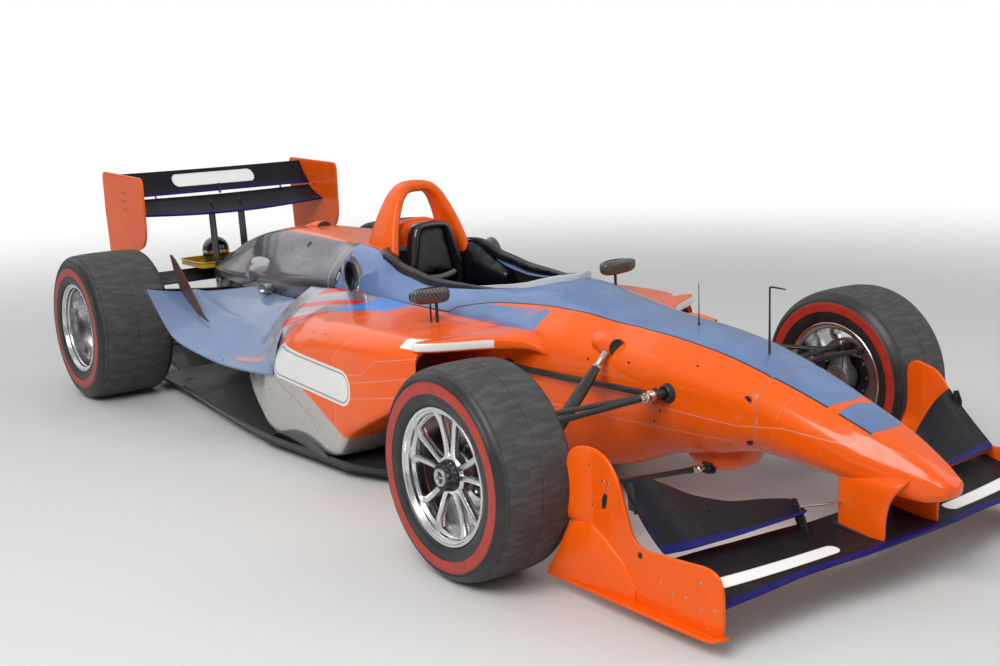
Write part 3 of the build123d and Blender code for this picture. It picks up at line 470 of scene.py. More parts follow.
def dust(finish, colour, amount=.04, rough=.22, roughDusty=.4, coat=.5):
    # Slow colour drift and a thin film of dust in the lacquer
    drift = finish.noise(3.1, 4)
    film = finish.noise(9, 6, .62).rise(.5, .78)
    finish.set(Base_Color=finish.mix(film * amount, finish.mix(drift * .12, colour, (0, 0, 0)), (.42, .36, .3)),
               Roughness=rough + film * (roughDusty - rough), Coat_Weight=coat * (1 - film * .5))
    return lacquer(finish, .18)


def peel(finish):
    # Fine unevenness of sprayed paint
    return finish.bump(finish.noise(420, 2), .0004, .12)


def twoTone(finish, colour, deep):
    # Slow drift between two shades
    return finish.mix(finish.noise(1.4, 2), colour, deep)


def plainPaint(name, colour, deep=None, metallic=.0, rough=.25, coat=.5, slot="orange_body"):
    # One sprayed colour with its drift, dust and lacquer
    finish = Finish(name, slot, Metallic=metallic)
    finish.places()
    dust(finish, twoTone(finish, colour, deep or colour), rough=rough, coat=coat)
    return peel(finish)


def weave(name, tint=(.01, .01, .012), light=(.03, .029, .033), size=.003, rough=.28, coat=.6):
    # Two by two twill: tows over and under in steps, by the sum of two stair counts
    finish = Finish(name, "carbon", Metallic=.0)
    x, y, z = finish.places()
    u, v = x / size, (y + z * .83) / size
    over = ((u.whole() + v.whole()).zigzag(2.0) * .5).rise(.35, .65)
    thread = abs(u.zigzag(.5) - .25) * over
    cross = abs(v.zigzag(.5) - .25) * (1 - over)
    film = finish.noise(11, 5, .6).rise(.5, .8)
    finish.set(Base_Color=finish.mix(film * .06, finish.mix(over, tint, light), (.3, .26, .22)),
               Roughness=rough + film * .25, Coat_Weight=coat - film * .4)
    return lacquer(finish.bump(thread + cross, .0006, .35), .22)


def metal(name, colour, rough=.25, grain=(60, 60, 60), wear=.3, metallic=1.0, scratch=.08, slot="alloy"):
    # Bare metal: directional polishing marks, smudges and dulled patches
    finish = Finish(name, slot, Metallic=metallic)
    finish.places()
    marks = finish.noise(1, 4, .6, stretch=grain)
    smudge = finish.noise(14, 5, .6)
    colour = finish.mix(smudge.rise(.45, .8) * wear, colour, tuple(c * .55 for c in colour))
    finish.set(Base_Color=colour, Roughness=rough + marks * scratch + smudge.rise(.5, .8) * wear * .4)
    return finish.bump(marks, .0003, .15)


orangePaint = plainPaint("orangePaint", paint["orange"], paint["orangeDeep"])
bluePaint = plainPaint("greyBluePaint", paint["greyBlue"], None, .35, .3, slot="grey_body")
yellowPaint = plainPaint("yellowPaint", paint["yellow"], slot="yellow_tray")
carbon = weave("lacqueredCarbon")
dullCarbon = weave("dryCarbon", (.014, .014, .014), (.042, .041, .04), rough=.4, coat=.2)
brownCarbon = weave("finCarbon", (.045, .018, .012), (.12, .055, .035), rough=.35, coat=.4)
blackMetal = metal("satinBlackMetal", (.022, .022, .024), .32, (20, 20, 140), .25, .2, slot="black_metal")
polished = metal("polishedRim", (.86, .86, .87), .07, (12, 160, 12), .18)
alloy = metal("machinedAlloy", (.55, .55, .56), .28, (30, 220, 30))
castMetal = metal("castAlloy", (.24, .24, .25), .5, (160, 160, 160), .45, .75, slot="cast_alloy")
steel = metal("brightSteel", (.62, .61, .6), .2, (200, 40, 40), .25)
nodeFinish = {"orange_body": orangePaint, "silver_body": alloy, "grey_body": bluePaint, "carbon": carbon,
              "black_metal": blackMetal, "padding": dullCarbon, "polished_rim": polished, "alloy": alloy,
              "cast_alloy": castMetal, "yellow_tray": yellowPaint, "tyre": blackMetal}
ownFinish = {"undertray": dullCarbon, "engine": castMetal}
for subpart in frame["record"]["subparts"]:
    cad = nodes[subpart["node"]]
    cad.data.materials.clear()
    cad.data.materials.append(ownFinish.get(subpart["node"], nodeFinish[subpart["material_slot"]]).material)
print("finishes made")


# ---- Bodywork
tubSkin = {
    "stations": [
        # x, top half, top, crown, half, shoulder, waist, bottom half, low
        (2.3975, .008, .322, .002, .014, .319, .312, .01, .305), (2.388, .026, .337, .003, .04, .327, .307, .028, .293),
        (2.36, .037, .354, .004, .054, .333, .301, .04, .281), (2.32, .05, .374, .005, .072, .344, .298, .056, .274),
        (2.2, .072, .43, .006, .113, .374, .312, .088, .287), (2.02, .086, .496, .007, .151, .432, .345, .112, .304),
        (1.823, .105, .557, .008, .179, .49, .38, .135, .318), (1.6, .118, .606, .01, .215, .53, .37, .15, .268),
        (1.44, .12, .627, .012, .232, .55, .36, .16, .236), (1.22, .125, .643, .018, .255, .562, .33, .17, .15),
        (.985, .16, .664, .028, .298, .584, .28, .2, .095), (.841, .19, .672, .054, .303, .598, .24, .21, .064),
        (.76, .2, .676, .05, .306, .603, .2, .22, .056), (.62, .214, .686, .02, .312, .606, .18, .24, .049),
        (.42, .238, .676, .004, .32, .602, .17, .25, .049), (.233, .248, .668, 0, .328, .602, .16, .26, .049),
        (.05, .254, .694, 0, .332, .606, .16, .26, .049), (-.08, .256, .738, 0, .336, .612, .16, .26, .049),
        (-.187, .238, .764, .004, .339, .628, .16, .26, .049), (-.367, .218, .778, .014, .342, .634, .16, .26, .049)],
    "opening": [(.806, 0), (.8, .03), (.785, .062), (.75, .105), (.7, .14), (.62, .172), (.5, .2),
                (.36, .222), (.2, .236), (.0, .24), (-.1, .236), (-.15, .218), (-.176, .18), (-.186, .12),
                (-.19, 0)],
    "panelEdge": [(2.4, -.02), (2.176, -.02), (2.166, .0735), (2.052, .083), (2.05, -.02), (2.032, -.02),
                  (2.024, .0845), (1.822, .104), (1.541, .12), (1.265, .13), (1.05, .155), (.924, .182), (.6, .262),
                  (.45, .3), (.35, .36), (-.4, .36)],
    "seam": 1.8235,
}


def openingHalf(x):
    # Half width of the cockpit's opening, nought outside it
    table = np.array(sorted(tubSkin["opening"]))
    return np.interp(x, table[:, 0], table[:, 1], left=0, right=0)


def tubEdge(x):
    # Height of the cockpit's rim, over the opening's half width
    topHalf, top, crown = ease(tubSkin["stations"], x)[:, :3].T
    return top + crown * (1 - (openingHalf(x) / topHalf)**2)


def tubRings(x):
    # Half sections from the middle of the top, over the shoulder, to the middle of the bottom
    topHalf, top, crown, half, shoulder, waist, bottomHalf, low = ease(tubSkin["stations"], x).T
    edge = openingHalf(x)
    middle = (edge + topHalf) / 2
    dome = lambda y: top + crown * (1 - (y / topHalf)**2)
    rolled = np.minimum(1, edge / .03)
    section = corners((edge - .01 * rolled, dome(edge) - .016 * rolled), (edge, dome(edge)), (middle, dome(middle)),
                      (topHalf, top), (half, shoulder), (half, waist), (bottomHalf, low), (0, low))
    return lift(arcs(section, [0, .8, 1, .85, .8, .9, .9, 0], 6, False, 4), x)


def beside(points, line):
    # Height above a broken line z(x)
    line = np.array(sorted(line))
    return points[..., 2] - np.interp(points[..., 0], line[:, 0], line[:, 1])


def tubMarks(points):
    # Distances from the panel's edge, the corner patch and the two thin lines, in metres
    x, y, z = np.moveaxis(points, -1, 0)
    y = abs(y)
    edges = np.array(sorted(tubSkin["panelEdge"]))
    high = np.interp(x, [-.4, .42, .985, 1.6, 2.4], [.6, .6, .58, .5, .3])
    grey = np.minimum(np.interp(x, edges[:, 0], edges[:, 1]) - y, z - high)
    grey = np.minimum(grey, y - np.interp(x, [-.4, -.2, -.175], [.196, .212, -.2]))
    corner = np.maximum(abs(x - .665) - .245, abs(beside(points, [(.38, .606), (.92, .622)])) - .034)
    patch = np.where(z > .5, -corner, -.1)
    pinHigh = beside(points, [(.3, .46), (1.09, .436), (1.578, .415), (1.762, .406), (1.92, .426), (2.135, .409),
                              (2.156, .436), (2.307, .384), (2.33, .37)])
    pinLow = beside(points, [(.3, .36), (1.06, .355), (1.3, .345), (1.82, .352), (1.875, .35), (1.9, .46), (1.93, .55)])
    pinLow = np.where(x < 1.935, pinLow, .1)
    return {"grey": grey, "patch": patch, "pinHigh": np.where(x < 2.325, pinHigh, .1), "pinLow": pinLow}


def livery():
    # Orange paint with a grey-blue top panel, its dark edge, the thin pale lines on the flanks and a painted highlight
    # along the nose's seam
    finish = Finish("tubLivery", "orange_body")
    x, y, z = finish.places()
    grey, patch = finish.field("grey"), finish.field("patch")
    panel = finish.mix(finish.noise(5, 4, stretch=(1, 2, 2)).rise(.35, .7) * .5, paint["greyBlue"], (.18, .29, .54))
    fade = patch.rise(-.001, .001) * (1 - finish.noise(9, 3).rise(.45, .7) * (1 - patch.rise(0, .03)) * .8)
    thin = [(finish.field(key).within(.0007, .0015) * (1 - grey.rise(-.002, 0)) * x.rise(2.285, 2.24) * .7,
             paint["pin"])
            for key in ("pinHigh", "pinLow")]
    # The pale line at the nose's seam is a painted highlight along the panel's rolled edge
    dust(finish, finish.layers(twoTone(finish, paint["orange"], paint["orangeDeep"]), (fade, panel),
                               (grey.rise(-.0008, .0008), panel), (grey.within(.0018, .003), paint["line"]),
                               ((x - tubSkin["seam"]).within(.0016, .0026) * .5, (.8, .5, .36)), *thin))
    return peel(finish.set(Metallic=grey.rise(-.0008, .0008) * .12))


liveryFinish = livery()


def makeTub():
    # Nose and tub: half sections mirrored into open rings
    for name, start, end, node, count, crowd in (
            ("noseSkin", 2.3975, tubSkin["seam"] + .001, "nose_cone", 48, ((2.36, .037, 12),)),
            ("tubSkin", tubSkin["seam"] - .001, -.367, "tub", 112, ((.79, .02, 12), (-.178, .014, 8)))):
        x = spread(start, end, count, crowd)[::-1]
        rings = tubRings(x)
        skin = np.concatenate([rings, rings[:, ::-1] * (1, -1, 1)], axis=1)
        for end in (0, -1):
            if abs(x[end] - tubSkin["seam"]) < .01:         # the panel's edge rolls in at the seam
                centre = skin[end].mean(axis=0)
                skin[end] += (centre - skin[end]) * (.0025 / np.linalg.norm(skin[end] - centre, axis=1, keepdims=True))
        form = Form().grid(skin, capStart=node == "nose_cone", **tubMarks(skin))
        form.piece(name, liveryFinish, stands=[node], sharp=50, merge=4e-5, thick=.004 if node == "tub" else 0)


cockpit = {"floor": .088, "belly": .05}


def makeLiner():
    # The cockpit's inside: the rim's outline carried down to the floor
    x = spread(.804, -.188, 60, ((.79, .015, 12), (-.178, .01, 10)))[::-1]
    outline = coords(x, openingHalf(x) - .008, tubEdge(x) - .014)
    outline = np.concatenate([outline, outline[::-1] * (1, -1, 1)])
    depth = np.linspace(0, 1, 24)[:, None]
    belly = cockpit["belly"] * np.sin(np.pi * np.minimum(depth * 1.6, 1))
    wall = np.repeat(outline[None], len(depth), axis=0)
    wall[..., 1] += np.sign(outline[:, 1]) * np.minimum(belly, .11) * np.minimum(abs(outline[:, 1]) / .1, 1)
    wall[..., 2] = outline[:, 2] * (1 - depth) + cockpit["floor"] * depth
    form = Form().grid(wall, wrapColumns=True, capEnd=True)
    form.piece("cockpitLiner", dullCarbon, sharp=60)


makeTub()
makeLiner()
print("tub and nose made")


sidepod = {
    "stations": [
        # x, outer, low, side top, shoulder y, shoulder z, inner z, inner y
        (.722, .655, .395, .522, .615, .566, .59, .3), (.7, .664, .378, .526, .62, .572, .593, .302),
        (.56, .69, .3, .528, .636, .578, .598, .31), (.4, .7, .218, .524, .64, .576, .601, .318),
        (.3, .7, .163, .52, .64, .574, .604, .322), (.22, .7, .075, .512, .638, .57, .606, .326),
        (.1, .7, .052, .5, .634, .562, .609, .33), (0, .7, .05, .474, .622, .551, .612, .333),
        (-.14, .7, .05, .44, .606, .535, .614, .337), (-.237, .7, .05, .392, .592, .517, .617, .338),
        (-.33, .7, .075, .345, .59, .506, .61, .34), (-.417, .69, .125, .325, .56, .506, .602, .341),
        (-.5, .676, .18, .312, .505, .514, .594, .338), (-.577, .655, .232, .304, .458, .518, .588, .334)],
    "duct": (.014, .12), "root": .25, "shelf": [
        # x, outer y, low, high
        (.7, .655, .542, .574), (.722, .655, .542, .577), (.76, .62, .542, .58), (.8, .55, .542, .581),
        (.84, .47, .542, .582), (.9, .385, .541, .578), (.95, .33, .535, .562), (.99, .3, .52, .532)],
}


def podMarks(points):
    # Distances from the silver, blue and red fields and from the lid's joint
    x, y, z = np.moveaxis(points, -1, 0)
    y = abs(y)
    # Silver: behind the orange bulge, and below the line that runs down to the front foot
    back = -.255 - .55 * np.clip(.4 - z, 0, .3) - x - .35 * np.clip(z - .5, 0, .2)
    top = np.where(z > .47, np.interp(x, [-.4, -.3, -.1, .2, .24], [.66, .62, .545, .44, .3]) - y, -1)
    triangle = np.interp(x, [-.6, .024, .299, .35], [.5, .277, .154, -.05]) - z
    silver = np.maximum(np.maximum(back, triangle), np.where(z > .49, top, -1))
    blue = np.minimum(np.minimum(top, x - .02 + (y - .36) * .6), .235 + (y - .36) * -.35 - x)
    redWave = abs(((y - .33) * 1.0 + (x + .45) * .16) % .105 - .052) - .026
    red = np.minimum(np.minimum(top, -redWave - .004), np.minimum(.03 - x, x + .42))
    # The lid's joint: up the side, forward round the shoulder, then inwards
    around = np.where(z < .55, z, .55 + np.clip(.66 - y, 0, 1))
    joint = x - np.interp(around, [.385, .452, .484, .509, .55, .59, .663, .764],
                          [.225, .233, .255, .294, .4, .49, .498, .538])
    return {"silver": silver, "blue": blue, "red": red, "joint": np.where(y > .44, joint, 1), "lip": np.ones_like(x)}


def podFinish():
    # Orange side, silver tail and foot with a painted floor reflection low down, blue and red sweeps, a blank plate,
    # pale lines, seams and rivets
    finish = Finish("sidepodLivery", "orange_body")
    x, y, z = finish.places()
    silver, blue, red = finish.field("silver"), finish.field("blue"), finish.field("red")
    wisp = finish.noise(7, 4, .6, stretch=(.7, 2.4, 1)) - .5
    bare = silver.rise(-.001, .001)
    cloud = finish.noise(16, 4, .6, stretch=(.4, 1.5, 1.5)).rise(.4, .75)
    # Silver, lighter and browner towards the bottom: a painted reflection of the floor
    metal = finish.layers((.36, .345, .385), (cloud, (.5, .48, .53)), (z.rise(.46, .3) * .8, (.64, .61, .56)))
    redHere, blueHere = (red + wisp * .02).rise(-.002, .003), (blue + wisp * .008).rise(-.001, .001)
    sky = finish.mix(finish.noise(12, 4).rise(.4, .7) * .5, paint["blue"], (.1, .36, .8))
    plate = finish.box(x, z, (.037, .363), (.307, .068), .062, -.045)
    outer = plate.rise(.0008, -.0008) * z.rise(.6, .55)
    mark = finish.mix((plate + .013).within(.0028, .004), paint["white"], (.33, .33, .33))
    strip = finish.box(x, z, (.75, .562), (.118, .0135), .003, 0)
    strip = strip.rise(.0008, -.0008) * abs(y).rise(.38, .4) * finish.field("lip").rise(-.018, -.014)
    colour = finish.layers(twoTone(finish, paint["orange"], paint["orangeDeep"]), (bare, metal),
                           (redHere, paint["red"]), (blueHere, sky), (outer, mark), (strip, paint["white"]))
    free = (1 - bare) * (1 - outer) * (1 - strip) * x.rise(.24, .27)
    # Three thin lines that rise forwards along the pod's side
    for level in (z - .309 - (x - .272) * .182, z - .364 - (x - .26) * .198,
                  z - .396 - (x - .263) * .17 - x.rise(.42, .53) * .048):
        colour = finish.mix(level.within(.0007, .0015) * free * z.rise(.55, .54) * .7, colour, paint["pin"])
    seam = finish.field("joint").within(.0008, .0022)
    colour = finish.mix(seam * (1 - outer) * (1 - bare) * .65, colour, (.8, .42, .3))
    for rx, rz in ((-.36, .15), (-.2, .15), (-.04, .15), (.08, .15), (-.3, .245), (-.13, .235), (.02, .225)):
        rivet = ((x - rx) ** 2 + (z - rz) ** 2) ** .5
        colour = finish.mix((1 - rivet.rise(.0035, .0042)) * abs(y).rise(.5, .55) * .8, colour, (.1, .095, .09))
    cut = (z - .245 - (x + .1) * -.36).within(.0008, .0016)
    colour = finish.mix(cut * x.rise(-.34, -.33) * x.rise(.14, .13) * abs(y).rise(.5, .55) * .7, colour,
                        (.08, .07, .07))
    dust(finish, colour, rough=.24)
    finish.set(Metallic=bare * (1 - outer) * (1 - redHere) * (1 - blueHere) * .6)
    return finish.bump(finish.noise(420, 2) * .5 + seam * -2, .0006, .15)


podPaint = podFinish()


def podRings(x, inset=.0):
    # Closed sections of a sidepod, drawn in by an inset
    outer, low, sideTop, shoulderY, shoulderZ, innerZ, innerY = ease(sidepod["stations"], x).T
    section = corners((innerY + inset * 1.5, innerZ - inset * 3), (shoulderY - inset, shoulderZ - inset * 2),
                      (outer - inset, sideTop - inset), (outer - inset, low + inset),
                      (innerY + inset * 1.5, low + inset))
    return lift(arcs(section, [.1, .95, .95, .22, .1], 7, True, 12), x)


def makeSidepod(side, sign):
    # Outer skin, its lip and the duct inside as one sleeve, the shelf ahead of it and the radiator
    x = spread(.722, -.577, 84, ((.7, .02, 8), (.2, .03, 8)))[::-1]
    shell = podRings(x)
    wall, deep = sidepod["duct"]
    duct = podRings(np.linspace(deep, .712, 12), wall)
    lip = podRings(np.array([.719]), wall * .4)
    skin = np.concatenate([duct, lip, shell])
    marks = podMarks(skin)
    marks["lip"][:len(duct) + 1] = -1
    form = Form().rings(skin * (1, sign, 1), **marks)
    xs = spread(.7, .99, 30)
    outer, low, high = ease(sidepod["shelf"], xs).T
    section = corners((sidepod["root"], high + .012), (outer, high), (outer, low), (sidepod["root"], low - .004))
    shelf = lift(arcs(section, [.1, .9, .9, .1], 5, True, 6), xs)
    bare = np.full(shelf.shape[:2], -1.0)
    form.rings(shelf * (1, sign, 1), silver=bare, blue=bare, red=bare, joint=-bare, lip=shelf[..., 1] - outer[:, None])
    form.piece("sidepodSkin_" + side, podPaint, stands=["sidepod_" + side], sharp=45)
    core = Form().grid(np.array([[(.16, y, z) for z in np.linspace(.12, .53, 16)] for y in np.linspace(.35, .675, 24)])
                       * (1, sign, 1))
    core.piece("radiator_" + side, radiatorFinish, thick=.03, sharp=35)


def radiator():
    # Fins and tubes as two waves, one across and one up
    finish = Finish("radiatorCore", "cast_alloy", Metallic=.9, Roughness=.45)
    x, y, z = finish.places()
    fins = (y * 1400).wave() * .5 + .5
    tubes = (z * 620).wave().rise(.2, .5)
    finish.set(Base_Color=finish.mix(fins * .6 + tubes * .4, (.03, .03, .03), (.35, .35, .36)))
    return finish.bump(fins + tubes, .002, .6)


radiatorFinish = radiator()
both(makeSidepod)
print("sidepods made")


cover = {
    "stations": [
        # x, top half, top, crown, half, waist, low
        (-.3685, .218, .778, .012, .342, .636, .43), (-.583, .165, .772, .01, .338, .612, .44),
        (-.85, .135, .772, .01, .322, .582, .45), (-1.107, .112, .768, .01, .298, .558, .468),
        (-1.467, .088, .722, .01, .262, .53, .492), (-1.707, .074, .664, .01, .228, .518, .494),
        (-1.94, .056, .583, .008, .16, .5, .474), (-2.02, .046, .552, .006, .125, .488, .468)],
}


def coverMarks(points):
    # Distance from the orange crest's edge
    x, y, z = np.moveaxis(points, -1, 0)
    y = abs(y)
    edge = np.interp(x, [-2.02, -1.7, -1.21, -1.11, -.5, -.381, -.296], [.03, .05, .092, .112, .168, .185, .215])
    return {"orange": edge - y + (z - .6) * .02}


def coverFinish():
    # Chrome-like grey with cloudy airbrushed shades, orange along the crest
    finish = Finish("engineCoverPaint", "silver_body")
    x, y, z = finish.places()
    orange = finish.field("orange")
    cloud = finish.noise(2.2, 4, .55, stretch=(.8, 1.6, 3.0))
    band = finish.noise(5.5, 3, .5, stretch=(.35, 1, 4.5))
    there = (orange + (finish.noise(9, 3) - .5) * .012).rise(-.006, .004)
    seam = (x + .452 + (z - .7) * .28).within(.0012, .0028)
    dust(finish, finish.layers(
        (.064, .056, .07), (cloud.rise(.35, .68), (.155, .138, .165)), (band.rise(.55, .72) * .6, (.25, .23, .27)),
        (finish.noise(3.7, 3).rise(.55, .75) * .35, (.2, .23, .34)), (there, paint["orange"]),
        (seam * .8, (.75, .74, .72))), .06, .2, .34)
    return finish.set(Metallic=(1 - there) * .5).bump(finish.noise(420, 2) * .5 - seam, .0006, .15)


silverFinish = coverFinish()


def coverRings(x):
    # Half sections from the crest to the lower edge
    topHalf, top, crown, half, waist, low = ease(cover["stations"], x).T
    section = corners((0, top + crown), (topHalf, top), (half, waist + .012), (half, low))
    return lift(arcs(section, [0, .75, .55, 0], 8, False, 10), x)


def makeCover():
    # The half sections mirrored, given the wall's thickness inwards
    x = spread(-.3685, -2.02, 100)[::-1]
    rings = coverRings(x)
    skin = np.concatenate([rings[:, ::-1], rings[:, 1:] * (1, -1, 1)], axis=1)
    Form().grid(skin, **coverMarks(skin)).piece("engineCoverSkin", silverFinish, stands=["engine_cover"], thick=.005,
                                                offset=-1, sharp=50)


makeCover()
print("engine cover made")


# ---- Wheels, tyres, hubs and brakes
wheels = {
    # axle x and height, outer face, half width, tyre radius, spokes' middle from the tyre's middle plane
    "front": {"axle": frontAxle, "height": .324, "outer": .997, "half": .135, "radius": .324, "spokes": .078,
              "disc": .837, "turn": .3, "bearing": .762, "reach": .052},
    "rear": {"axle": rearAxle, "height": .343, "outer": .997, "half": .18, "radius": .343, "spokes": .02,
             "disc": .747, "turn": .62, "bearing": .672, "reach": .07},
    "arms": 5, "band": (.2475, .2835),
}


def rubber(name, spec):
    # Sidewall, worn and gritty tread with its centre line, and the red band on the wall
    finish = Finish(name, "tyre")
    finish.places(centre=(spec["axle"], 0, spec["height"]))
    r, across = finish.field("radius"), finish.field("across")
    tread = (r - spec["radius"] * .955).rise(0, .004) * across.within(spec["half"] * .86, spec["half"] * .9)
    grit = finish.spots(430).rise(.1, .3)
    speck = finish.noise(900, 2).rise(.6, .72)
    band = (r - sum(wheels["band"]) / 2).within(.0165, .018) * (1 - tread)
    tone = finish.mix(finish.noise(14, 5).rise(.35, .7), (.0105, .0105, .011), (.022, .021, .02))
    worn = finish.layers((.04, .039, .04), (finish.noise(60, 5, stretch=(1, .25, 1)).rise(.4, .7) * .7,
                                            (.084, .08, .079)), (speck * .8, (.24, .235, .23)))
    red = finish.layers((.4, .028, .018), (finish.noise(30, 4).rise(.4, .75) * .45, (.19, .016, .012)),
                        (finish.noise(260, 3).rise(.62, .74) * .5, (.08, .01, .01)))
    edge = (abs(across) - spec["half"] * .83).within(.001, .006) * tread
    grime = finish.noise(7, 6, .6).rise(.52, .8) * .3
    colour = finish.layers(tone, (tread, worn), (edge * .5, (.008, .008, .009)), (band, red),
                           (grime * (1 - tread), (.055, .047, .04)))
    centre = across.within(.0006, .0012)
    finish.set(Base_Color=colour, Roughness=.34 + tread * .34 + finish.noise(40, 3) * .14)
    height = grit * tread * 1.0 + speck * tread * .6 - centre * tread * 1.2 + finish.noise(520, 2) * (1 - tread) * .18
    return finish.bump(height, .0012, .55)


def polishedRim():
    # Polished aluminium, turned: fine rings about the axle, brake dust toward the hub
    finish = Finish("polishedRim", "polished_rim", Metallic=1.0)
    finish.places()
    r = finish.field("radius")
    rings = (r * 5200).wave()
    dusty = finish.noise(16, 5, .6).rise(.45, .8)
    colour = finish.layers((.74, .74, .75), (dusty * .5, (.42, .4, .38)),
                           (finish.noise(110, 3).rise(.66, .78) * .3, (.2, .19, .18)))
    finish.set(Base_Color=colour, Roughness=.13 + dusty * .2 + finish.noise(70, 4) * .05)
    return finish.bump(rings * .35 + finish.noise(300, 3), .0002, .25)


rimFinish = polishedRim()


def angled(points, sign, centre):
    # Wheel coordinates (along the car, outwards, up) to the car's
    points = np.asarray(points, float)
    return coords(centre[0] + points[..., 0], sign * (centre[1] + points[..., 1]), centre[2] + points[..., 2])


def ringsOf(profile, sign, place, form, sides=120, closed=False, caps=False, **marks):
    # A profile (distance outwards, radius) turned round a wheel's axle
    profile = np.asarray(profile, float)
    out, radius = profile[:, :1], profile[:, 1:]
    turn = circle(sides)
    points = coords(radius * np.cos(turn), out, radius * np.sin(turn))
    marks = {key: np.broadcast_to(value, points.shape[:2]) for key, value in {"radius": radius, **marks}.items()}
    return form.grid(angled(points, sign, place), closed, True, caps, caps, **marks)


def makeTyre(kind, side, sign, finish):
    # Wall and half tread mirrored about the middle plane and turned round the axle
    spec = wheels[kind]
    h, R, middle = spec["half"], spec["radius"], spec["outer"] - spec["half"]
    k = R - .324
    wall = [(h - .0185, .1925), (h - .0185, .206), (h - .0145, .2095), (h - .0085, .2125), (h - .0042, .22),
            (h - .0016, .234), (h - .0012, .2455), (h - .0002, .2465), (h, .265), (h - .0002, .2845),
            (h - .0012, .2855 + k * .2), (h - .0026, .2882 + k * .6), (h - .0018, .2889 + k * .6),
            (h - .003, .2896 + k * .6), (h - .0042, .2922 + k * .7), (h - .0034, .2929 + k * .7),
            (h - .0047, .2936 + k * .7), (h - .009, .3005 + k), (h - .015, .3085 + k), (h - .0235, .3148 + k),
            (h - .034, .3182 + k), (h * .55, .3222 + k), (h * .28, .3237 + k), (.003, R), (.0012, R - .0002),
            (.0008, R - .0014)]
    wall = np.array(wall)
    # Straight runs gain points between their ends
    share = np.linspace(0, 1, 3)[:-1, None, None]
    wall = np.concatenate([(wall[:-1] * (1 - share) + wall[1:] * share).transpose(1, 0, 2).reshape(-1, 2), wall[-1:]])
    profile = np.concatenate([wall, (wall * (-1, 1))[::-1]])
    form = ringsOf(profile, sign, (spec["axle"], middle, spec["height"]), Form(), 128, closed=True,
                   across=profile[:, :1])
    form.piece(f"{kind}Tyre_{side}", finish, body=f"{kind}_{side}_wheel", stands=[f"{kind}_tyre_{side}"], sharp=60)


def spokeRing(kind, form, sign, place):
    # Five pairs of arms, each pair joined near the lip into a Y with a teardrop window
    spec, steps, sides = wheels[kind], 14, 16
    t = np.linspace(0, 1, steps)
    r = .05 + t * .1395
    width = np.interp(t, [0, .2, .75, 1], [.0125, .0098, .0105, .0165])
    depth = np.interp(t, [0, .5, 1], [.013, .012, .014])
    dish = spec["spokes"] + .004 + .007 * t**2
    u, v = oval(sides, 3.2)
    for number in range(wheels["arms"]):
        for hand in (-1, 1):
            swing = np.interp(t, [0, .25, .8, 1], [.27, .205, .225, .3]) * hand
            angle = 2 * np.pi * number / wheels["arms"] + swing + spec["turn"]
            side = coords(-np.sin(angle), np.cos(angle))
            base = coords(np.cos(angle), np.sin(angle)) * r[:, None]
            flat = base[:, None] + side[:, None] * (width[:, None] * u)[..., None]
            points = coords(flat[..., 0], dish[:, None] + depth[:, None] * v, flat[..., 1])
            form.rings(angled(points, sign, place), radius=np.hypot(flat[..., 0], flat[..., 1]))


def makeWheel(kind, side, sign):
    # Barrel with both lips, spokes and hub face as one piece, and the valve
    spec = wheels[kind]
    h, s = spec["half"], spec["spokes"]
    place = (spec["axle"], spec["outer"] - h, spec["height"])
    face = [(h - .0175, .1913), (h - .0175, .204), (h - .016, .2075), (h - .0125, .2088), (h - .01, .208),
            (h - .009, .206), (h - .0092, .201), (h - .0105, .1985), (h - .0155, .1972), (h - .0175, .1955),
            (h - .018, .1905), (h - .0215, .1888), (h - .032, .188), (h - .034, .1866), (h - .036, .1846),
            (s + .022, .1838), (s + .018, .1822), (s + .017, .18)]
    back = [(s - .012, .18), (s - .016, .1825), (-h + .05, .183), (-h + .02, .184), (-h + .0095, .197),
            (-h + .0092, .206), (-h + .011, .2085), (-h + .015, .208), (-h + .0175, .204), (-h + .0178, .1913)]
    form = ringsOf(rounded(face + back, 3, .5, True), sign, place, Form(), 96, closed=True)
    spokeRing(kind, form, sign, place)
    hubFace = [(s - .021, .0365), (s - .021, .06), (s - .016, .0635), (s + .006, .0635), (s + .013, .06),
               (s + .0165, .055), (s + .0165, .048), (s + .0135, .0465), (s + .0135, .0365)]
    ringsOf(hubFace, sign, place, form, 64, closed=True)
    form.piece(f"{kind}Rim_{side}", rimFinish, body=f"{kind}_{side}_wheel",
               stands=[f"{kind}_rim_{side}"], sharp=32)
    # Valve on the barrel
    angle = spec["turn"] + .628
    foot = np.array([np.cos(angle) * .178, h - .045, np.sin(angle) * .178])
    tip = foot + np.array([-np.cos(angle) * .018, .02, -np.sin(angle) * .018])
    valve = Form().tube(angled([foot, foot + (tip - foot) * .3, foot + (tip - foot) * .32, tip], sign, place),
                        [.0052, .0052, .0038, .0038], 14)
    valve.piece(f"{kind}Valve_{side}", blackMetal, body=f"{kind}_{side}_wheel")


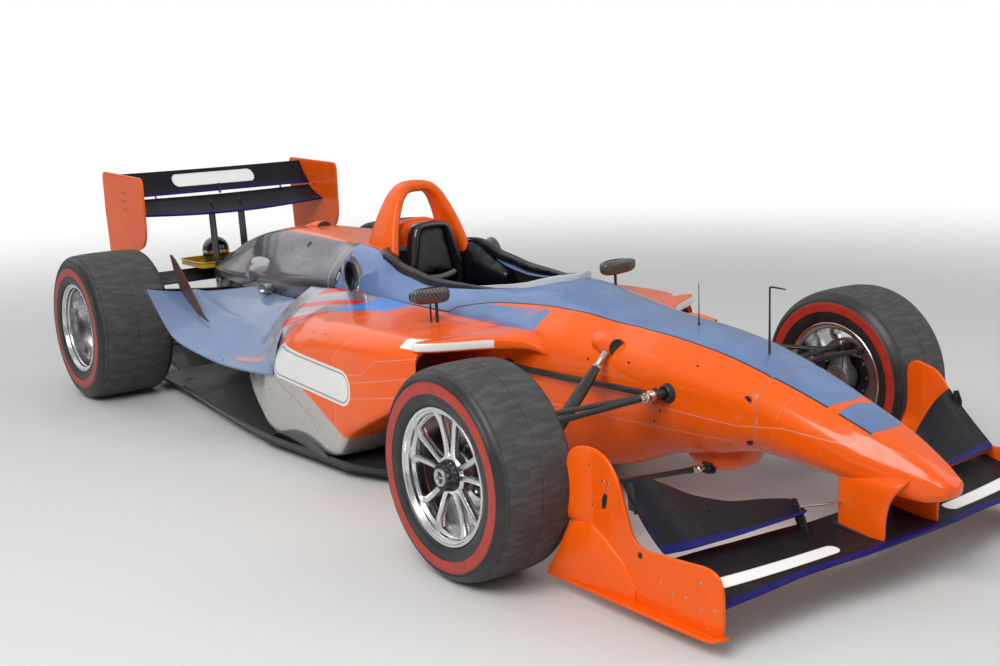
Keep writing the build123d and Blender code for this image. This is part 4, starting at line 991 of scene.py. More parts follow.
def makeHub(kind, side, sign):
    # Ribbed centre nut, hollow spindle end and the wheel flange
    spec = wheels[kind]
    s = spec["spokes"]
    place = (spec["axle"], spec["outer"] - spec["half"], spec["height"])
    body = f"{kind}_{side}_wheel"
    ribs, steps = 14, 8
    turn = circle(ribs * steps)
    wave = .5 + .5 * np.tanh(3 * np.sin(turn * ribs))
    rings = []
    for across, outer, depth in ((.014, .03, 0), (.014, .044, 0), (.0175, .0465, 0), (.0195, .0475, 0),
                                 (.022, .046, .003),
                                 (.04, .043, .0045), (.0455, .0405, .004), (.0475, .0375, .001), (.0475, .03, 0)):
        r = outer - depth * wave
        rings.append(coords(r * np.cos(turn), s + across, r * np.sin(turn)))
    nut = Form().grid(angled(rings, sign, place), wrapRows=True, wrapColumns=True)
    nut.piece(f"{kind}Nut_{side}", nutFinish, body=body)
    inner, tip = spec["bearing"] - place[1], s + spec["reach"]
    spindle = [(inner, .03), (s + .04, .03), (s + .044, .029), (tip - .004, .0275), (tip, .0262), (tip, .0185),
               (tip - .003, .017), (s + .02, .0165)]
    form = ringsOf([(inner, .002)] + spindle + [(s + .02, .002)], sign, place, Form(), 64, caps=True)
    flange = s - .0223
    ringsOf([(flange - .012, .034), (flange - .012, .058), (flange - .009, .0615), (flange - .001, .0615),
             (flange, .06),
             (flange, .034)], sign, place, form, 96, closed=True)
    form.piece(f"{kind}Hub_{side}", alloy, body=body, stands=[f"{kind}_hub_{side}"], sharp=35)
    if kind == "rear":
        # Driveshaft with a ribbed boot at each end
        boot = [(.152, .03), (.16, .052), (.186, .054), (.19, .05)]
        boot += [(.195 + .009 * k, .046 - .0042 * k + .004 * (k % 2)) for k in range(7)]
        boot += [(.262, .0175), (.395, .017)]
        mirrored = [(.822 - a, r) for a, r in reversed(boot)]
        shaft = ringsOf(np.array(boot + mirrored) - (place[1], 0), sign, place, Form(), 48, caps=True)
        shaft.piece(f"driveshaft_{side}", blackMetal, body=body)
    # Safety spring across the hollow end and its small bar
    clip = Form().tube(angled([(-.0165, tip - .006, 0), (0, tip - .004, .0), (.0165, tip - .006, 0)], sign, place),
                       .0022, 10)
    clip.piece(f"{kind}Clip_{side}", steel, body=body)
    disc = spec["disc"] - place[1]
    bell = [(disc - .004, .034), (disc - .004, .088), (disc - .011, .094), (disc - .011, .1385), (disc + .011, .1385),
            (disc + .011, .094), (disc + .004, .088), (disc + .004, .064), (flange - .012, .052), (flange - .012, .034)]
    form = ringsOf(rounded(bell, 3, .25, True), sign, place, Form(), 88, closed=True)
    form.piece(f"{kind}Disc_{side}", discFinish, body=body, sharp=35)
    lugs = Form()
    for number in range(10):
        angle = number * np.pi / 5
        centre = angled([np.cos(angle) * .086, disc - .0075, np.sin(angle) * .086], sign, place)
        lugs.turned([(0, .0065), (.013, .0065), (.015, .005)], centre, (0, sign, 0), 14)
    lugs.piece(f"{kind}DiscBobbins_{side}", steel, body=body, sharp=35)


def nutPaint():
    # Dark anodising worn bright in patches
    finish = Finish("nutAnodised", "alloy", Metallic=.85)
    finish.places()
    worn = finish.noise(120, 4, .6).rise(.52, .72)
    finish.set(Base_Color=finish.mix(worn * .6, (.045, .045, .055), (.3, .3, .31)), Roughness=.32 + worn * .1)
    return finish.bump(finish.noise(400, 2), .0003, .3)


def discPaint():
    # Dark bell, a bright swept face with fine rings, rust in patches
    finish = Finish("brakeDisc", "alloy", Metallic=1.0)
    finish.places()
    r = finish.field("radius")
    swept = (r - .096).rise(0, .002)
    rings = (r * 3800).wave()
    rust = finish.noise(30, 5).rise(.5, .8)
    colour = finish.layers((.1, .1, .11), (swept, (.42, .41, .4)), (rust * .35, (.25, .12, .06)))
    finish.set(Base_Color=colour, Roughness=.4 - swept * .12 + rust * .2)
    return finish.bump(rings, .0002, .3)


nutFinish, discFinish = nutPaint(), discPaint()
for kind in ("front", "rear"):
    tyreFinish = rubber(kind + "Rubber", wheels[kind])
    for side, sign in (("right", -1), ("left", 1)):
        makeTyre(kind, side, sign, tyreFinish)
        makeWheel(kind, side, sign)
        makeHub(kind, side, sign)
print("wheels made")


# ---- Wings and endplates
def foilRings(table, y, thick, bow, count=22, blunt=.0022):
    # Wing profiles at span places: a thickness curve round a camber line that hangs below the chord
    noseX, noseZ, tailX, tailZ = ease(table, y).T[:, :, None]
    s = (1 - np.cos(np.linspace(0, np.pi, count))) / 2
    s = np.concatenate([s[::-1], s[1:]])
    upper = np.concatenate([np.ones(count), -np.ones(count - 1)])
    half = thick * (1.4845 * np.sqrt(s) - .63 * s - 1.758 * s**2 + 1.4215 * s**3 - .518 * s**4) + blunt / 2 * s
    camber = -bow * np.sin(np.pi * s**.85)
    runX, runZ = tailX - noseX, tailZ - noseZ
    chord = np.hypot(runX, runZ)
    over = camber + upper * half
    x = noseX + runX * s + runZ / chord * over
    z = noseZ + runZ * s - runX / chord * over
    points = coords(x, np.asarray(y)[:, None], z)
    return points, {"chord": np.broadcast_to(s * upper, x.shape)}


def panel(form, x, low, high, middle, thick, rows=26, across=None, sign=1):
    # An upright plate: at each station a thin ring with round edges, from its low line to its high one
    low, high = (np.interp(x, *np.array(sorted(line)).T)[:, None] for line in (low, high))
    half = np.minimum(thick / 2, (high - low) / 2)
    turn = np.linspace(0, np.pi, 7)
    t = np.linspace(0, 1, rows)
    up = low + half + (high - low - 2 * half) * t
    rise = np.concatenate([up, high - half + half * np.sin(turn)[None, 1:-1], up[:, ::-1],
                           low + half - half * np.sin(turn)[None, 1:-1]], axis=1)
    ones = np.ones_like(up)
    out = np.concatenate([half * ones, half * np.cos(turn)[None, 1:-1], -half * ones,
                          -half * np.cos(turn)[None, 1:-1]], axis=1)
    stations = np.broadcast_to(x[:, None], rise.shape)
    if across:
        out = out + across(stations, rise)
    points = coords(stations, sign * (middle + out), rise)
    return form.rings(points)


def wingFinish(name, edge=.1, plate=None, under=False):
    # Lacquered twill: a blue leading edge, a pale line beneath it and blank rounded plates
    finish = weave(name, (.006, .006, .008), (.02, .018, .023), .003, .4, .06)
    finish.set(Specular_IOR_Level=.08)
    x, y, z = finish.places()
    chord = finish.field("chord")
    plain = Wire(finish, finish.shader.inputs["Base Color"].links[0].from_socket)
    # Upper surface has a positive chord share, the lower one a negative
    blue = (chord + edge * .35).rise(-.004, .004) * (1 - (chord - edge).rise(-.004, .004))
    colour = finish.mix(blue, plain, finish.mix(finish.noise(8, 3), (.008, .008, .085), (.016, .016, .15)))
    if under:
        pale = (chord + edge * .42).within(.01, .014)
        colour = finish.mix(pale * .8, colour, (.42, .4, .36))
    for centre, half, tilt in plate or ():
        shape = finish.box(abs(y) if centre[0] < 0 else y, x if under else z, (abs(centre[0]), centre[1]), half,
                           min(half) * .98, tilt)
        inside = shape.rise(.0006, -.0006) * chord.rise(.0, .01)
        rim = (shape + .003).within(.0006, .0014) * .35
        colour = finish.mix(inside, colour, finish.mix(rim, paint["white"], (.3, .31, .36)))
    return finish.set(Base_Color=colour)


frontWing = {
    "main": [
        # y, nose x, nose z, tail x, tail z
        (0, 2.28, .156, 2.04, .176), (.12, 2.279, .156, 2.04, .176), (.185, 2.276, .155, 2.036, .174),
        (.205, 2.27, .151, 2.034, .176), (.32, 2.249, .143, 2.024, .178), (.45, 2.236, .137, 2.012, .178),
        (.6, 2.236, .131, 2.000, .18), (.732, 2.238, .129, 1.993, .18)],
    "flap": [
        (.232, 2.072, .229, 2.022, .25), (.25, 2.078, .228, 2.008, .254), (.32, 2.074, .225, 1.972, .259),
        (.4, 2.068, .222, 1.95, .266), (.5, 2.058, .217, 1.9, .293), (.6, 2.048, .215, 1.878, .345),
        (.66, 2.041, .214, 1.872, .372), (.732, 2.023, .213, 1.852, .378)],
    "low": [(1.58, .04), (2.05, .04), (2.225, .046), (2.236, .052), (2.241, .075)],
    "high": [(1.58, .046), (1.6, .078), (1.62, .115), (1.636, .145), (1.648, .185), (1.654, .215), (1.66, .3),
             (1.6645, .402), (1.67, .424), (1.684, .44), (1.7, .4465), (1.725, .4495), (1.76, .4445), (1.785, .437),
             (1.805, .427), (1.825, .408), (1.8415, .385), (1.855, .36), (1.868, .328), (1.88, .293), (1.892, .262),
             (1.903, .238), (1.916, .223), (1.932, .2135), (1.955, .2095), (1.985, .2095), (2.023, .213), (2.13, .222),
             (2.17, .2255), (2.195, .2245), (2.213, .219), (2.227, .208), (2.236, .19), (2.2405, .16), (2.241, .1)],
}


def foldOut(x, z):
    # The fin's rear part is folded outwards
    return np.clip(1.745 - x, 0, .09) * .32 * np.clip((z - .205) / .04, 0, 1)


def makeFrontWing():
    # Main plane in one span, its table mirrored
    y = spread(-.7318, .7318, 112, ((-.195, .012, 8), (.195, .012, 8)))
    points, marks = foilRings([(-row[0], *row[1:]) for row in frontWing["main"][:0:-1]] + frontWing["main"], y, .026,
                              .013, 26)
    finish = wingFinish("frontWingTwill", .085, [((-.46, 2.168), (.215, .024), -.115)], under=True)
    Form().rings(points, **marks).piece("frontWingMain", finish, stands=["front_wing_main"], sharp=50)


def makeFlap(side, sign):
    # One flap with its slot link and its stay to the nose
    y = spread(.232, .7318, 90, ((.24, .008, 8),))
    points, marks = foilRings(frontWing["flap"], y, .013, .008, 24)
    form = Form().rings(points * (1, sign, 1), **marks)
    form.piece(f"frontWingFlap_{side}", flapFinish, stands=["front_wing_flaps"] if side == "right" else (),
               sharp=50)
    link = Form()
    outline = [(2.096, .172), (2.062, .17), (2.04, .222), (2.034, .262), (2.05, .266), (2.066, .24), (2.084, .215)]
    link.slab(outline, sign * .252, .006, .0012)
    link.slab([(1.985, .182), (1.962, .182), (1.94, .268), (1.962, .27)], sign * .5, .004, .001)
    link.bolts([(2.05, sign * .2555, .246), (2.074, sign * .2555, .19)], (0, sign, 0), .005, .003)
    link.piece(f"flapLink_{side}", blackMetal)
    rod = Form().tube([(2.058, sign * .25, .243), (2.09, sign * .19, .243), (2.105, sign * .122, .24)], .0035, 10)
    rod.piece(f"flapStay_{side}", steel)


def makeEndplate(side, sign):
    # Plate with the folded fin, the bulge, the footplate, rivets, plug and the flap's adjuster
    form = Form()
    x = spread(1.5802, 2.2408, 104, ((1.66, .02, 22), (2.232, .01, 14), (1.74, .03, 8), (1.9, .03, 8)))
    panel(form, x, frontWing["low"], frontWing["high"], .737, .0094, 26, foldOut, sign)
    # The bulge low at the rear: half a cone that opens backwards
    s = np.linspace(0, 1, 46)[:, None]
    xs = 1.918 - .338 * s
    top = np.interp(1 - s, [0, .15, .235, .49, .66, .86, 1], [.2, .215, .222, .23, .198, .15, .09])
    reach = .004 + .04 * s**.8
    turn = np.linspace(0, np.pi / 2, 14)[None, :]
    low = .046
    out = reach * np.sin(turn)**.8
    rise = low + (top - low) * np.cos(turn)**.75
    rise = np.minimum(rise, np.interp(xs, [1.58, 1.6, 1.636, 1.66, 1.7], [.046, .078, .145, .22, .3]))
    shell = coords(xs, sign * (.7415 + out), rise)
    inner = coords(xs, sign * (.7415 + np.maximum(out - .005, 0)), rise - .001)
    form.rings(np.concatenate([shell, inner[:, ::-1]], axis=1))
    # Footplate with its rounded lip
    xs = spread(1.575, 2.262, 40, ((2.25, .012, 10), (1.585, .01, 8)))
    wide = np.interp(xs, [1.575, 1.585, 1.61, 1.8, 2.15, 2.22, 2.245, 2.257, 2.262],
                     [.02, .034, .04, .04, .036, .033, .028, .018, .004])
    raised = np.interp(xs, [1.575, 2.22, 2.262], [0, 0, .016])
    section = np.array([(-.006, .041), (.55, .0405), (.88, .04), (1.0, .0425), (1.03, .0475), (1.0, .0525),
                        (.92, .0525),
                        (.85, .049), (.55, .0485), (-.006, .0485)])
    section = rounded(section, 3, .7, True)
    foot = coords(xs[:, None],
                     sign * (.7405 + wide[:, None] * section[None, :, 0]), section[None, :, 1] + raised[:, None])
    form.rings(foot)
    form.piece(f"frontEndplate_{side}", endplateFinish, stands=["front_endplate_" + side], sharp=45)
    bolts = Form()
    spots = [(2.016, .136), (2.058, .118), (2.109, .123), (2.165, .18), (2.164, .108), (2.213, .121), (2.19, .062),
             (1.737, .399), (1.744, .284), (1.81, .359), (1.806, .345), (1.789, .362)]
    spots = [(sign * (.7408 + foldOut(px, pz)), px, pz) for px, pz in spots]
    bolts.bolts([(px, py, pz) for py, px, pz in spots], (0, sign, 0), .0042, .0022, 16)
    bolts.piece(f"endplateRivets_{side}", steel)
    plug = Form()
    plug.turned([(-.001, .0085), (.0014, .0085), (.0022, .0072), (.0022, .005), (.0006, .0045)],
                (1.936, sign * .7415, .189),
                (0, sign, 0), 24)
    slit = np.array([(1.783, .284), (1.796, .284), (1.803, .3), (1.806, .325), (1.795, .33), (1.785, .312)])
    plug.slab(slit, sign * .7422, .0026, .0008)
    plug.piece(f"endplatePlug_{side}", blackMetal)
    # The flap's adjuster on the inner face: bracket, threaded rod and its nuts
    rig = Form()
    rig.slab([(1.905, .3), (1.88, .3), (1.872, .372), (1.89, .378), (1.905, .345)], sign * .7285, .005, .001)
    rig.tube([(1.898, sign * .722, .29), (1.884, sign * .722, .368)], .005, 12)
    for x, z in ((1.892, .322), (1.887, .35)):
        rig.turned([(0, .009), (.008, .009)], (x, sign * .722, z), (-.16, 0, .98), 6)
    rig.piece(f"flapAdjuster_{side}", blackMetal)


pylon = {"rows": [(.15, 2.092, 2.253, .129, .017), (.163, 2.092, 2.253, .129, .018), (.21, 2.092, 2.254, .129, .019),
            (.24, 2.091, 2.257, .129, .021), (.268, 2.09, 2.263, .1285, .024), (.295, 2.088, 2.276, .127, .03),
            (.317, 2.084, 2.292, .123, .04), (.332, 2.078, 2.3, .112, .052), (.345, 2.07, 2.3, .09, .055)]}


def makePylon(side, sign):
    # Sections from the wing up: z, then rear x, front x, y of the outer face, thickness
    z = np.linspace(.15, .345, 40)
    rear, front, face, thick = ease(pylon["rows"], z).T
    u, v = oval(48)
    size = (abs(u)**5 + abs(v)**2.6)**(-1 / 4.2)
    u, v = np.clip(u * size, -1, 1), np.clip(v * size, -1, 1)
    x = (rear + front)[:, None] / 2 + (front - rear)[:, None] / 2 * u
    y = face[:, None] - thick[:, None] / 2 + thick[:, None] / 2 * v
    points = coords(x, sign * y, np.broadcast_to(z[:, None], x.shape))
    form = Form().rings(points)
    form.piece(f"nosePylon_{side}", endplateFinish,
               stands=["nose_pylons"] if side == "right" else (), sharp=50)
    foot = Form()
    outline = [(2.083, .15), (2.262, .148), (2.262, .158), (2.083, .1785)]
    foot.slab(outline, sign * .1195, .032, .002)
    foot.piece(f"pylonFoot_{side}", carbon)


endplateFinish = plainPaint("endplateOrange", paint["orange"], paint["orangeDeep"], coat=.22)
flapFinish = wingFinish("flapTwill", .11)
makeFrontWing()
both(makeFlap)
both(makeEndplate)
both(makePylon)
print("front wing made")


rearWing = {
    "main": [(0, -2.007, .783, -2.177, .866), (.15, -2.009, .785, -2.177, .867), (.3, -2.014, .791, -2.177, .869),
             (.42, -2.021, .798, -2.177, .871), (.5397, -2.029, .805, -2.177, .872)],
    "flap": [(0, -2.169, .884, -2.275, 1.000), (.3, -2.169, .884, -2.275, 1.001), (.5397, -2.169, .884, -2.275, 1.003)],
    "beam": [(0, -2.177, .418, -2.332, .462), (.5397, -2.177, .418, -2.332, .462)],
    "low": [(-2.3975, .8), (-2.392, .765), (-2.36, .42), (-2.35, .402), (-2.335, .396), (-2.155, .396),
            (-2.14, .402),
            (-2.128, .42), (-2.075, .585), (-2.06, .607), (-2.035, .622), (-1.935, .65), (-1.905, .664), (-1.884, .69),
            (-1.872, .72), (-1.868, .76)],
    "high": [(-2.3975, .99), (-2.394, 1.004), (-2.384, 1.014), (-2.37, 1.018), (-1.905, 1.006), (-1.885, 1.003),
             (-1.873, .994), (-1.868, .975)],
}


def makeRearWing():
    # Main plane, flap and beam wing in one span each, and the links in the slot
    for name, key, thick, bow, node, finish in (
            ("rearWingMain", "main", .024, .016, "rear_wing_main", wingFinish("rearTwill", .11)),
            ("rearWingFlap", "flap", .015, .013, "rear_wing_flap",
             wingFinish("rearFlapTwill", .1, [((-1e-9, .95), (.235, .031), 0)])),
            ("rearBeamWing", "beam", .017, .011, "rear_beam_wing", wingFinish("beamTwill", .09))):
        table = [(-row[0], *row[1:]) for row in rearWing[key][:0:-1]] + rearWing[key]
        points, marks = foilRings(table, spread(-.5397, .5397, 70), thick, bow, 24)
        Form().rings(points, **marks).piece(name, finish, stands=[node], sharp=50)
    parts = Form()
    parts.slab([(-2.16, .872), (-2.178, .872), (-2.186, .905), (-2.182, .925), (-2.168, .9)], 0, .007, .0012)
    for y in (-.36, .36):
        parts.slab([(-2.16, .872), (-2.178, .872), (-2.186, .9), (-2.176, .905)], y, .004, .001)
    parts.piece("slotGapLink", blackMetal)


def makeRearEndplate(side, sign):
    # Plate, three raised gills that follow a half sine, their dark slots, screws
    form = Form()
    x = spread(-2.3973, -1.8682, 90, ((-2.39, .007, 12), (-1.875, .006, 14), (-2.35, .012, 12), (-2.135, .012, 12),
                                      (-2.06, .015, 8)))
    panel(form, x, rearWing["low"], rearWing["high"], .545, .0098, 22, None, sign)
    form.piece(f"rearEndplate_{side}", endplateFinish, stands=["rear_endplate_" + side], sharp=45)
    s = np.linspace(0, 1, 26)
    for name, finish, start, run, height, radius, margin, sides, flat in (
            ("endplateGills", endplateFinish, -2.02, .205, .955, .0105, .03, 16, .62),
            ("gillSlots", dullCarbon, -2.03, .185, .9455, .0052, .05, 12, 1.05)):
        gills = Form()
        for drop in (0, .04, .08):
            path = coords(start - run * s, sign * .5452, height - drop - .036 * np.sin(np.pi * s**.8) + .012 * s)
            gills.tube(path, radius * np.sin(np.pi * np.clip(s, margin, 1 - margin))**.6, sides, flat, (0, sign, 0))
        gills.piece(f"{name}_{side}", finish, sharp=50)
    screws = Form()
    spots = [(-2.05, .826), (-2.1, .846), (-2.15, .862), (-2.205, .93), (-2.245, .972), (-2.215, .432), (-2.29, .447)]
    screws.bolts([(px, sign * .5494, pz) for px, pz in spots], (0, sign, 0), .0042, .002, 16)
    screws.piece(f"endplateScrews_{side}", steel)


makeRearWing()
both(makeRearEndplate)
print("rear wing made")


# ---- Ramps ahead of the rear wheels, roll hoop, scoops
ramp = {
    "stations": [
        # x, inner y, inner z, share of the crease, crease z, outer y, outer z
        (-.262, .675, .43, .3, .345, .706, .3125), (-.3, .64, .455, .32, .34, .714, .3125),
        (-.407, .56, .485, .4, .338, .744, .314), (-.5, .48, .505, .42, .345, .764, .3165),
        (-.577, .418, .512, .44, .362, .776, .32), (-.707, .352, .517, .47, .392, .801, .34),
        (-.907, .322, .507, .52, .44, .849, .405), (-1.02, .314, .508, .55, .48, .85, .478),
        (-1.147, .306, .524, .58, .522, .85, .575)],
    "thick": .008,
}


def makeRamp(side, sign):
    # Swept surface with its crease, the fin behind it and screws along the edge
    x = spread(-.262, -1.1465, 56)[::-1]
    innerY, innerZ, share, creaseZ, outerY, outerZ = ease(ramp["stations"], x).T[:, :, None]
    t = np.linspace(0, 1, 32)[None]
    y = innerY + (outerY - innerY) * t
    # A cubic from the root down to the outer edge, flatter beyond the crease
    bend = (1 - t)**3 * innerZ + 3 * (1 - t)**2 * t * (creaseZ * .45 + innerZ * .55) \
        + 3 * (1 - t) * t**2 * (creaseZ * .8 + outerZ * .2) + t**3 * outerZ
    bend = bend + .01 * np.exp(-((t - share) / .05)**2) * np.clip((-x[:, None] - .5) * 3, 0, 1)
    top = coords(x[:, None], y, bend)
    low = top - (0, 0, ramp["thick"])
    form = Form()
    ring = np.concatenate([top, low[:, ::-1]], axis=1) * (1, sign, 1)
    form.rings(ring)
    form.piece(f"wheelRamp_{side}", rampFinish, stands=["wheel_fairings"])
    fin = Form()
    xs = spread(-1.2365, -.878, 40, ((-1.225, .01, 8),))
    low = [(-.878, .44), (-1.01, .47), (-1.12, .52), (-1.147, .545), (-1.2, .62), (-1.232, .69)]
    high = [(-.878, .447), (-.93, .475), (-1.04, .575), (-1.12, .64), (-1.18, .684), (-1.22, .7035), (-1.232, .7045),
            (-1.2365, .698)]
    panel(fin, xs, low, high, .69, .0056, 22, None, sign)
    fin.piece(f"rampFin_{side}", brownCarbon, sharp=45)
    edge = Form()
    spots = [(-.33, .712), (-.45, .744), (-.6, .772), (-.76, .802)]
    heights = [float(np.interp(-px, [.262, .5, .707, .907], [.3125, .3165, .34, .405])) + .001 for px, _ in spots]
    edge.bolts([(px, sign * (py - .012), pz + .0005) for (px, py), pz in zip(spots, heights)], upward, .004, .0018, 14)
    edge.piece(f"rampScrews_{side}", steel)


def rampPaint():
    # Cloudy grey-blue with one short orange streak
    finish = Finish("rampSilver", "grey_body", Metallic=.1)
    x, y, z = finish.places()
    cloud = finish.noise(1.7, 4, .5, stretch=(1.2, .8, 2))
    streak = finish.box(x, abs(y), (-.47, .7), (.09, .009), .006, -.22)
    dust(finish, finish.layers((.15, .215, .37), (cloud.rise(.35, .7), (.215, .285, .45)),
                               (streak.rise(.004, -.003) * .85, (.66, .2, .13))), .06, .26, .4)
    return peel(finish)


rampFinish = rampPaint()
both(makeRamp)


hoop = {"rows": [
    # height share over the arch, then y and z of the band's middle line, half thickness, rear x, front x
    (0, .183, .705, .026, -.352, -.124), (.1, .17, .775, .026, -.34, -.14), (.24, .148, .855, .0245, -.322, -.163),
    (.4, .116, .93, .023, -.306, -.186), (.54, .09, .973, .0225, -.298, -.197), (.7, .056, 1.000, .023, -.29, -.205),
    (.86, .025, 1.0065, .0235, -.2865, -.208), (1, 0, 1.0075, .0235, -.286, -.208)]}


def makeHoop():
    # A band carried round the arch, the shroud between its feet, bolts
    s = np.linspace(0, 1, 60)
    y, z, half, rear, front = ease(hoop["rows"], s).T
    y, z, half, rear, front = (np.concatenate([k, sign * k[-2::-1]]) for k, sign in
                               ((y, -1), (z, 1), (half, 1), (rear, 1), (front, 1)))
    along = unit(np.gradient(coords(y, z), axis=0))
    across = coords(0, -along[:, 1], along[:, 0])
    centres = coords((rear + front) / 2, y, z)
    rings = carried(centres, forward, across, coords((front - rear) / 2, half), 3.2, 44)
    form = Form().rings(rings)
    form.piece("rollHoop", endplateFinish, stands=["roll_hoop"], sharp=50)
    # The shroud between the hoop's feet, behind the headrest
    z = np.array([.7, .76, .8, .84, .862, .872])
    half = np.array([[.062, .152], [.06, .148], [.056, .132], [.05, .108], [.04, .08], [.02, .05]])
    centres = coords(np.array([-.262, -.262, -.258, -.253, -.25, -.248]), 0, z)
    shroud = Form().rings(carried(centres, forward, leftward, half, 3.6, 48))
    shroud.piece("hoopShroud", endplateFinish, sharp=50)
    bolts = Form()
    for sign in (-1, 1):
        for px, pz in ((-.3, .765), (-.165, .765)):
            py = np.interp(pz, [.705, .775, .855], [.183 + .026, .17 + .026, .148 + .0245])
            bolts.bolts([(px, sign * (py - .0022), pz)], (0, sign * .98, .2), .007, .004, 6)
    bolts.piece("hoopBolts", steel)


makeHoop()


funnelFinish = plainPaint("funnelSilver", (.46, .45, .47), (.34, .33, .36), .75, .16, slot="silver_body")


def coverPoint(x, share):
    # A place on the engine cover's skin: share 0 at the crest, 1 at the lower edge
    ring = coverRings(np.array([x]))[0]
    return ring[int(share * (len(ring) - 1))]


funnel = {"axis": (.97, -.12, .16), "mouth": (-.196, .352, .672), "sink": .075, "depth": .15,
          "rows": [  # distance along the axis, half width, half height
        (-.15, .018, .04), (-.1, .026, .052), (-.05, .034, .064), (-.018, .042, .076), (-.004, .047, .084),
        (.003, .0485, .0865), (.005, .046, .083), (.002, .0375, .07), (-.004, .0325, .06), (-.014, .0305, .056),
        (-.05, .029, .053), (-.085, .026, .048)]}


def makeFunnel(side, sign):
    # A flared oval mouth that looks forward and outward from the cover's side
    out = unit(funnel["axis"] * np.array((1, sign, 1)))
    level = unit(np.cross(out, upward))
    rising = np.cross(level, out)
    mouth = funnel["mouth"] * np.array((1, sign, 1))
    rows = np.array(funnel["rows"])

    def down(distance):
        # Places along the axis, whose tail sinks into the cover
        distance = np.asarray(distance, float)
        centres = mouth + distance[:, None] * out
        centres[:, 1] -= sign * funnel["sink"] * np.clip(-distance / funnel["depth"], 0, 1)**1.5
        return centres

    form = Form().rings(carried(down(rows[:, 0]), level, rising, rows[:, 1:], 2.1, 56))
    form.piece(f"coverFunnel_{side}", funnelFinish)
    inside = Form()
    turn = circle(18)
    for angle in turn:
        spot = mouth + out * .0025 + level * .04 * np.cos(angle) + rising * .0745 * np.sin(angle)
        inside.turned([(-.002, .0022), (.0006, .0022)], spot, out, 10)
    ring = carried(down([-.03, -.034, -.034, -.03]), level, rising,
                   [(.0294, .0535), (.0294, .0535), (.021, .042), (.021, .042)], 2.1, 40)
    inside.grid(ring, wrapRows=True, wrapColumns=True)
    inside.rings(carried(down([-.06, -.058]), level, rising, [(.0285, .052)] * 2, 2.1, 40))
    inside.piece(f"funnelCore_{side}", dullCarbon)


def makeBlisters(side, sign):
    # Chrome-like blister on the cover's flank, the stub beside it and a small dark slit
    place = np.array([-1.235, sign * .262, .588])
    t = np.linspace(.02, np.pi / 2, 14)
    axis = unit(np.array([.1, sign * .86, .5]))
    level = unit(forward - axis * axis[0])
    centres = place + (np.cos(t) * .036 - .008)[:, None] * axis
    half = coords(np.sin(t) * .112, np.sin(t) * .062)
    form = Form().rings(carried(centres, level, np.cross(axis, level), half, 2.2, 48))
    form.piece(f"coverBlister_{side}", funnelFinish, sharp=50)
    stub = Form()
    profile = [(-.06, .024), (.03, .024), (.034, .0225), (.034, .018), (.02, .0175)]
    stub.turned(profile, (-.985, sign * .345, .53), (.35, sign * .92, .12), 36)
    stub.piece(f"wastegateStub_{side}", alloy)
    slit = coverPoint(-.86, .42)
    dark = Form()
    spot = np.array([slit[0], sign * slit[1], slit[2]])
    dark.turned([(-.006, .0015), (-.006, .0135), (.0016, .0145), (.0024, .012), (-.002, .01), (-.002, .0015)], spot,
                (0, sign * .72, .69), 24)
    dark.piece(f"coverVent_{side}", dullCarbon)


scoop = {"start": -1.045, "length": .2, "rise": .026, "half": .036, "sunk": .004}


def makeSnorkel():
    # A low scoop on the crest with a dark mouth
    s = np.linspace(0, 1, 24)
    x = scoop["start"] - scoop["length"] * s
    crest = np.interp(x, [-1.467, -1.107, -.85], [.732, .778, .782])
    rise = scoop["rise"] * (1 - s)**.8 * (1 - .25 * (1 - s)**8)
    half = scoop["half"] * (1 - s**2)**.5 + scoop["sunk"]
    centres = coords(x, 0, crest - scoop["sunk"])
    sizes = coords(half, rise + scoop["sunk"])
    form = Form().rings(carried(centres, leftward, upward, sizes, 2.2, 40))
    form.piece("crestScoop", endplateFinish, sharp=50)
    mouth = Form().rings(carried([(-1.0438, 0, .7775), (-1.0525, 0, .7775)], leftward, upward,
                                [(.0345, .0215), (.0345, .0215)], 2.2, 36))
    mouth.piece("scoopMouth", dullCarbon, sharp=50)


both(makeFunnel)
both(makeBlisters)
makeSnorkel()
print("ramps, hoop and scoops made")


# ---- Cockpit: pads, seat, headrest, hand wheel
def vinyl(name, colour, rough, weaveSize=.0):
    # Soft cover: worn patches, a fine grain and, where asked for, a woven check
    finish = Finish(name, "padding")
    x, y, z = finish.places()
    worn = finish.noise(9, 5, .6).rise(.45, .8)
    tone = finish.mix(worn * .5, colour, tuple(c * 1.8 + .005 for c in colour))
    grain = finish.spots(420) * .5 + finish.noise(160, 3)
    if weaveSize:
        u, v = y / weaveSize, z / weaveSize
        waves = (u * 6.283).wave() * (v * 6.283).wave()
        tone = finish.mix(waves.rise(-.2, .5), tone, (.042, .04, .039))
        grain = waves * .8 + finish.noise(300, 2) * .4
    finish.set(Base_Color=tone, Roughness=rough + worn * .14)
    return finish.bump(grain, .0008, .45)


padFinish = vinyl("padVinyl", (.005, .0055, .008), .2)
panelFinish = vinyl("headrestWeave", (.014, .0135, .013), .6, .0042)
seatFinish = vinyl("seatCover", (.01, .01, .012), .7, .006)
cloth = {"voxel": .008, "pressure": 4.0, "frames": 18, "most": .01}


